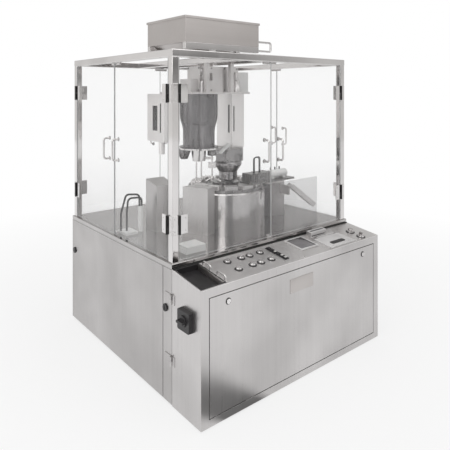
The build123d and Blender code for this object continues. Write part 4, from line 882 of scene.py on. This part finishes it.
def make_lid_oval():
    """The dark fill of the oval in the recorder's lid."""
    shape = bmesh.new()
    half_run, radius, steps = LID_OVAL_HALF_RUN, LID_OVAL_RADIUS, 16
    outline = []
    for side, first in ((1, -math.pi / 2), (-1, math.pi / 2)):
        for k in range(steps + 1):
            angle = first + math.pi * k / steps
            outline.append((side * half_run + radius * math.cos(angle), radius * math.sin(angle)))
    rings = [[shape.verts.new((x, y, level)) for x, y in outline] for level in (0.0, 0.0005)]
    shape.faces.new(list(reversed(rings[0])))
    shape.faces.new(rings[1])
    for k in range(len(outline)):
        after = (k + 1) % len(outline)
        shape.faces.new([rings[0][k], rings[0][after], rings[1][after], rings[1][k]])
    bmesh.ops.recalc_face_normals(shape, faces=shape.faces)
    across, along, above = LID_OVAL_AT
    place = desk_point(CENTRE_LINE.x + across, along, above)
    shape.transform(Matrix.Translation(place) @ basis(DESK_OUT))
    mesh = bpy.data.meshes.new("lid_oval_dark")
    shape.to_mesh(mesh)
    shape.free()
    mesh_piece("lid_oval_dark", mesh, "black", "recorder_lid_body", "black_plastic")


def make_desk_edges():
    """The steel cheek in the black tray, and a black strip along the deck's front edge that paints the shade
    under its lip.
    """
    desk_block("tray_cheek", (-0.5597, -0.5591), (0.016, 0.232), (-0.029, 0.0012), "tray", ROOT, "stainless",
               0.0002)
    # Painted shade: a black strip standing for the shadow line under the deck's front lip.
    desk_block("deck_lip_shade_strip", (-0.706, 0.706), (0.2412, 0.2468), (0.0, 0.0050), "rubber", ROOT, "foot_rubber")


def make_sight_glasses():
    """Dark glasses behind the sight slots of the two capsule magazines."""
    slots = (
        ((-0.4170, 0.100, 1.342), (-0.4155, 0.160, 1.502)),
        ((-0.4170, 0.056, 1.332), (-0.4155, 0.072, 1.517)),
        ((0.0690, -0.036, 1.314), (0.0705, -0.020, 1.504)),
        ((0.0780, -0.0590, 1.324), (0.0880, -0.0575, 1.494)),
    )
    glasses = [
        eased_block("glass", inside(*low), inside(*high), "screen", ROOT, "smoked", 0.0003)
        for low, high in slots
    ]
    joined("magazine_sight_glasses", glasses)


def make_station_screws():
    """Screws of the feed head, the loader and the filling block, and the studs of the white cylinder."""
    front, left, up = (0.0, -1.0, 0.0), (-1.0, 0.0, 0.0), (0.0, 0.0, 1.0)
    rows = (
        (front, (-0.125, -0.015, 0.093), (-0.080,), (1.602, 1.744)),
        (left, (-0.215,), (-0.068, 0.048), (1.602, 1.744)),
        (front, (-0.018, 0.098), (-0.120,), (1.142, 1.202)),
        (up, (0.158, 0.254), (-0.224, -0.162), (1.053,)),
    )
    places = [
        (tuple(inside(x, y, z)), out)
        for out, across, along, levels in rows for x in across for y in along for z in levels
    ]
    fasteners("station_screws", ROOT, "polished", "machined", places, *STATION_SCREW)
    studs = [
        bar("stud", inside(x, -0.193, 1.054), inside(x, -0.193, 1.074), 0.0045, "dark_steel", ROOT,
            "polished")
        for x in (0.300, 0.342, 0.384)
    ]
    joined("cylinder_studs", studs)


def make_dose_adjuster():
    """An arm from the cup, an upright with its clamp, and a hub with short levers."""
    finish, slot = "bright", "polished"
    across = Vector((0.775, -0.632, 0.0))
    post = inside(-0.100, -0.056, 0.0)
    top, clamp, hub = (post + Vector((0.0, 0.0, z)) for z in (1.172, 1.112, 1.030))
    parts = [
        bar("arm", inside(-0.136, -0.026, 1.158), inside(-0.094, -0.061, 1.158), 0.008, finish, ROOT, slot),
        bar("upright", hub, top, 0.0055, finish, ROOT, slot),
        bar("bridge", clamp - across * 0.020, clamp + across * 0.020, 0.007, finish, ROOT, slot),
        ball("hub", hub, 0.0125, finish, ROOT, slot),
    ]
    for side in (-1.0, 1.0):
        foot = clamp + across * 0.017 * side - Vector((0.0, 0.0, 0.019))
        parts.append(bar("post", foot, foot + Vector((0.0, 0.0, 0.038)), 0.0095, finish, ROOT, slot))
    for reach, way in (
        (0.060, (0.775, -0.632, -0.42)), (0.042, (-0.775, 0.632, -0.55)), (0.040, (-0.775, 0.632, 0.15)),
        (0.034, (-0.63, -0.77, -0.35)),
    ):
        tip = hub + Vector(way).normalized() * reach
        parts.append(bar("lever", hub, tip, 0.0042, finish, ROOT, slot))
        parts.append(ball("tip", tip, 0.0072, finish, ROOT, slot))
    joined("dose_adjuster", parts)


def make_outlet_castings():
    """Under the hopper's flange: the stirrer's gear case and the block that the dose adjuster hangs from."""
    finish, slot = "gunmetal", "polished"
    pieces = [
        lathe("case", GEAR_CASE, inside(-0.241, 0.061, 1.1528), (0.0, 0.0, 1.0), finish, ROOT, slot),
        eased_block("block", inside(-0.122, -0.076, 1.174), inside(-0.080, -0.034, 1.2188), finish, ROOT,
                    slot, 0.003),
    ]
    joined("outlet_castings", pieces)


def make_loader_flap():
    """The inclined flap that guides capsules onto the loader, on its two stays, white as a painted highlight
    for the bright light across it.
    """
    middle = inside(-0.030, -0.100, 1.219)
    low, high = middle - Vector((0.052, 0.022, 0.0015)), middle + Vector((0.052, 0.022, 0.0015))
    turn = Matrix.Rotation(math.radians(-35.0), 4, "Y")
    # Painted highlight: the flap is coloured white for the bright glint across it.
    flap = eased_block("flap", low, high, "white", ROOT, "polished", 0.0008, turn, middle)
    stays = [
        bar("stay", inside(0.002, y, 1.213), inside(0.002, y, 1.240), 0.0035, "white", ROOT, "polished")
        for y in (-0.112, -0.088)
    ]
    joined("loader_flap", [flap, *stays])


def make_handle_gaskets():
    """A dark gasket under each end of the door handles."""
    gaps = {g["name"]: g for g in frame["record"]["physics"]["openings"]}
    for leaf in DOOR_LEAVES:
        outward = door_outward(leaf)
        low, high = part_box(leaf + "_door")
        face = max(low.dot(outward), high.dot(outward))
        gap_low, gap_high = (Vector(corner) for corner in gaps[leaf + "_handle_gap"]["box_m"])
        middle = (gap_low + gap_high) / 2
        rings = []
        for level in (HANDLE_LOW, HANDLE_LOW + HANDLE_CENTRES):
            at = middle - outward * middle.dot(outward) + outward * face
            at.z = level
            ring = lathe("gasket", GASKET, at, outward, "rubber", leaf + "_leaf", "foot_rubber", steps=24)
            rings.append(ring)
        joined(leaf + "_handle_gaskets", rings)


def flag_mask(tree, way):
    """Where a narrow dark flag stands beside the camera, seen from the machine."""
    towards = Vector((-math.sin(HEADING), -math.cos(HEADING), 0.0))
    beside = Vector((math.cos(HEADING), -math.sin(HEADING), 0.0))
    level = vector_node(tree, "NORMALIZE", vector_node(tree, "MULTIPLY", way, (1.0, 1.0, 0.0)))
    ahead, aside = (vector_node(tree, "DOT_PRODUCT", level, tuple(axis)) for axis in (towards, beside))
    near = math_node(tree, "MULTIPLY", in_range(tree, aside, *FLAG_NEAR), in_range(tree, aside, *FLAG_FAR))
    return math_node(tree, "MULTIPLY", near, math_node(tree, "GREATER_THAN", ahead, 0.0))


def make_floor():
    """A pale floor that keeps the shadow and is white where it is seen far off."""
    mesh = bpy.data.meshes.new("studio_floor")
    shape = bmesh.new()
    bmesh.ops.create_circle(shape, cap_ends=True, segments=64, radius=FLOOR_RADIUS)
    shape.to_mesh(mesh)
    shape.free()
    floor = bpy.data.objects.new("studio_floor", mesh)
    bpy.context.scene.collection.objects.link(floor)
    made, tree, shader = new_finish("studio_floor_paint")
    set_sockets(shader, Base_Color=(0.86, 0.86, 0.86, 1.0), Roughness=0.9)
    seen = node(tree, "ShaderNodeLightPath").outputs
    reflected = seen["Is Glossy Ray"]
    any_seen = math_node(tree, "MAXIMUM", seen["Is Camera Ray"],
                         math_node(tree, "MAXIMUM", reflected, seen["Is Transmission Ray"]))
    place = object_place(tree)
    away = vector_node(tree, "LENGTH", place)
    across = node(tree, "ShaderNodeSeparateXYZ", inputs={0: place}).outputs["X"]
    dimmed = math_node(tree, "MULTIPLY", in_range(tree, across, 0.3, 3.0, 0.0, 0.25), reflected)
    paler = math_node(tree, "SUBTRACT", in_range(tree, away, 1.0, 4.0, 0.76, 1.0), dimmed)
    flag = math_node(tree, "MULTIPLY", flag_mask(tree, place), reflected)
    share = math_node(tree, "MAXIMUM", math_node(tree, "MULTIPLY", any_seen, paler), flag)
    white = node(tree, "ShaderNodeEmission", inputs={"Color": (1.0, 1.0, 1.0, 1.0)})
    tree.links.new(in_range(tree, flag, 0.0, 1.0, 1.0, FLAG_LEVEL), white.inputs["Strength"])
    blend = node(tree, "ShaderNodeMixShader", inputs={0: share, 1: shader.outputs[0], 2: white.outputs[0]})
    tree.links.new(blend.outputs[0], tree.nodes["Material Output"].inputs["Surface"])
    mesh.materials.append(made)


def make_room():
    """White round about; in reflections it darkens upwards and to the right, and has a low dark band."""
    world = bpy.data.worlds.new("studio")
    bpy.context.scene.world = world
    world.use_nodes = True
    tree = world.node_tree
    tree.nodes.clear()
    seen = node(tree, "ShaderNodeLightPath").outputs
    way = node(tree, "ShaderNodeTexCoord").outputs["Generated"]
    split = node(tree, "ShaderNodeSeparateXYZ", inputs={0: way})
    up = in_range(tree, split.outputs["Z"], 0.0, 0.9, 0.82, 0.52)
    side = in_range(tree, split.outputs["X"], -0.9, 0.9, 1.0, 0.82)
    ahead = in_range(tree, split.outputs["Y"], -0.62, -0.80)
    rising = in_range(tree, split.outputs["Z"], 0.005, 0.025)
    falling = in_range(tree, split.outputs["Z"], 0.11, 0.07)
    band = math_node(tree, "MULTIPLY", ahead, math_node(tree, "MULTIPLY", rising, falling))
    shade = math_node(tree, "MAXIMUM", band, flag_mask(tree, way))
    lit = math_node(tree, "SUBTRACT", 1.0, math_node(tree, "MULTIPLY", shade, FLAG_DEPTH))
    room = math_node(tree, "MULTIPLY", lit, math_node(tree, "MULTIPLY", up, side))
    direct = math_node(tree, "MAXIMUM", seen["Is Camera Ray"], seen["Is Transmission Ray"])
    glossy = node(tree, "ShaderNodeBackground", inputs={"Color": (1.0, 0.99, 0.975, 1.0)})
    tree.links.new(room, glossy.inputs["Strength"])
    plain = node(tree, "ShaderNodeBackground", inputs={"Color": (1.0, 1.0, 1.0, 1.0), "Strength": 0.42})
    clean = node(tree, "ShaderNodeBackground", inputs={"Color": (1.0, 1.0, 1.0, 1.0), "Strength": 1.0})
    first = node(tree, "ShaderNodeMixShader", inputs={
        0: seen["Is Glossy Ray"], 1: plain.outputs[0], 2: glossy.outputs[0],
    })
    second = node(tree, "ShaderNodeMixShader", inputs={0: direct, 1: first.outputs[0], 2: clean.outputs[0]})
    result = node(tree, "ShaderNodeOutputWorld")
    tree.links.new(second.outputs[0], result.inputs["Surface"])


def make_lamps():
    """Three large softboxes: left and ahead, in front, and overhead."""
    for name, place, aim, size, power in (
        ("key_softbox", (-3.6, -1.8, 3.6), (0.0, 0.0, 0.9), 4.2, 76.0),
        ("front_softbox", (1.8, -4.2, 4.8), (0.2, 0.0, 0.8), 4.0, 50.0),
        ("top_softbox", (0.0, 0.2, 4.6), (0.0, 0.0, 0.7), 4.0, 46.0),
    ):
        lamp = bpy.data.lights.new(name, "AREA")
        lamp.size = size
        lamp.energy = power
        holder = bpy.data.objects.new(name, lamp)
        holder.location = place
        holder.rotation_euler = (Vector(aim) - Vector(place)).to_track_quat("-Z", "Y").to_euler()
        bpy.context.scene.collection.objects.link(holder)


def make_studio():
    """Plain view settings, enough passes through clear doors, and the floor, the room and the lamps."""
    scene = bpy.context.scene
    scene.view_settings.view_transform = "Standard"
    scene.cycles.transparent_max_bounces = 24
    make_floor()
    make_room()
    make_lamps()


def make_camera():
    """A level lens, its picture dropped by shift so that uprights stay parallel."""
    lens = bpy.data.cameras.new("view_camera")
    lens.lens = LENS
    lens.sensor_width = SENSOR
    lens.shift_y = VIEW_DROP
    holder = bpy.data.objects.new("view_camera", lens)
    holder.location = EYE
    holder.rotation_euler = (math.radians(90.0), 0.0, -HEADING)
    bpy.context.scene.collection.objects.link(holder)
    bpy.context.scene.camera = holder


make_camera()
make_studio()
finish_cad_nodes()
make_hinge_screws()
make_front_panel_trim()
make_desk_trim()
make_display()
make_recorder_slots()
make_desk_edges()
make_recorder_cover()
make_lid_oval()
make_sight_glasses()
make_station_screws()
make_dose_adjuster()
make_outlet_castings()
make_loader_flap()
make_handle_gaskets()
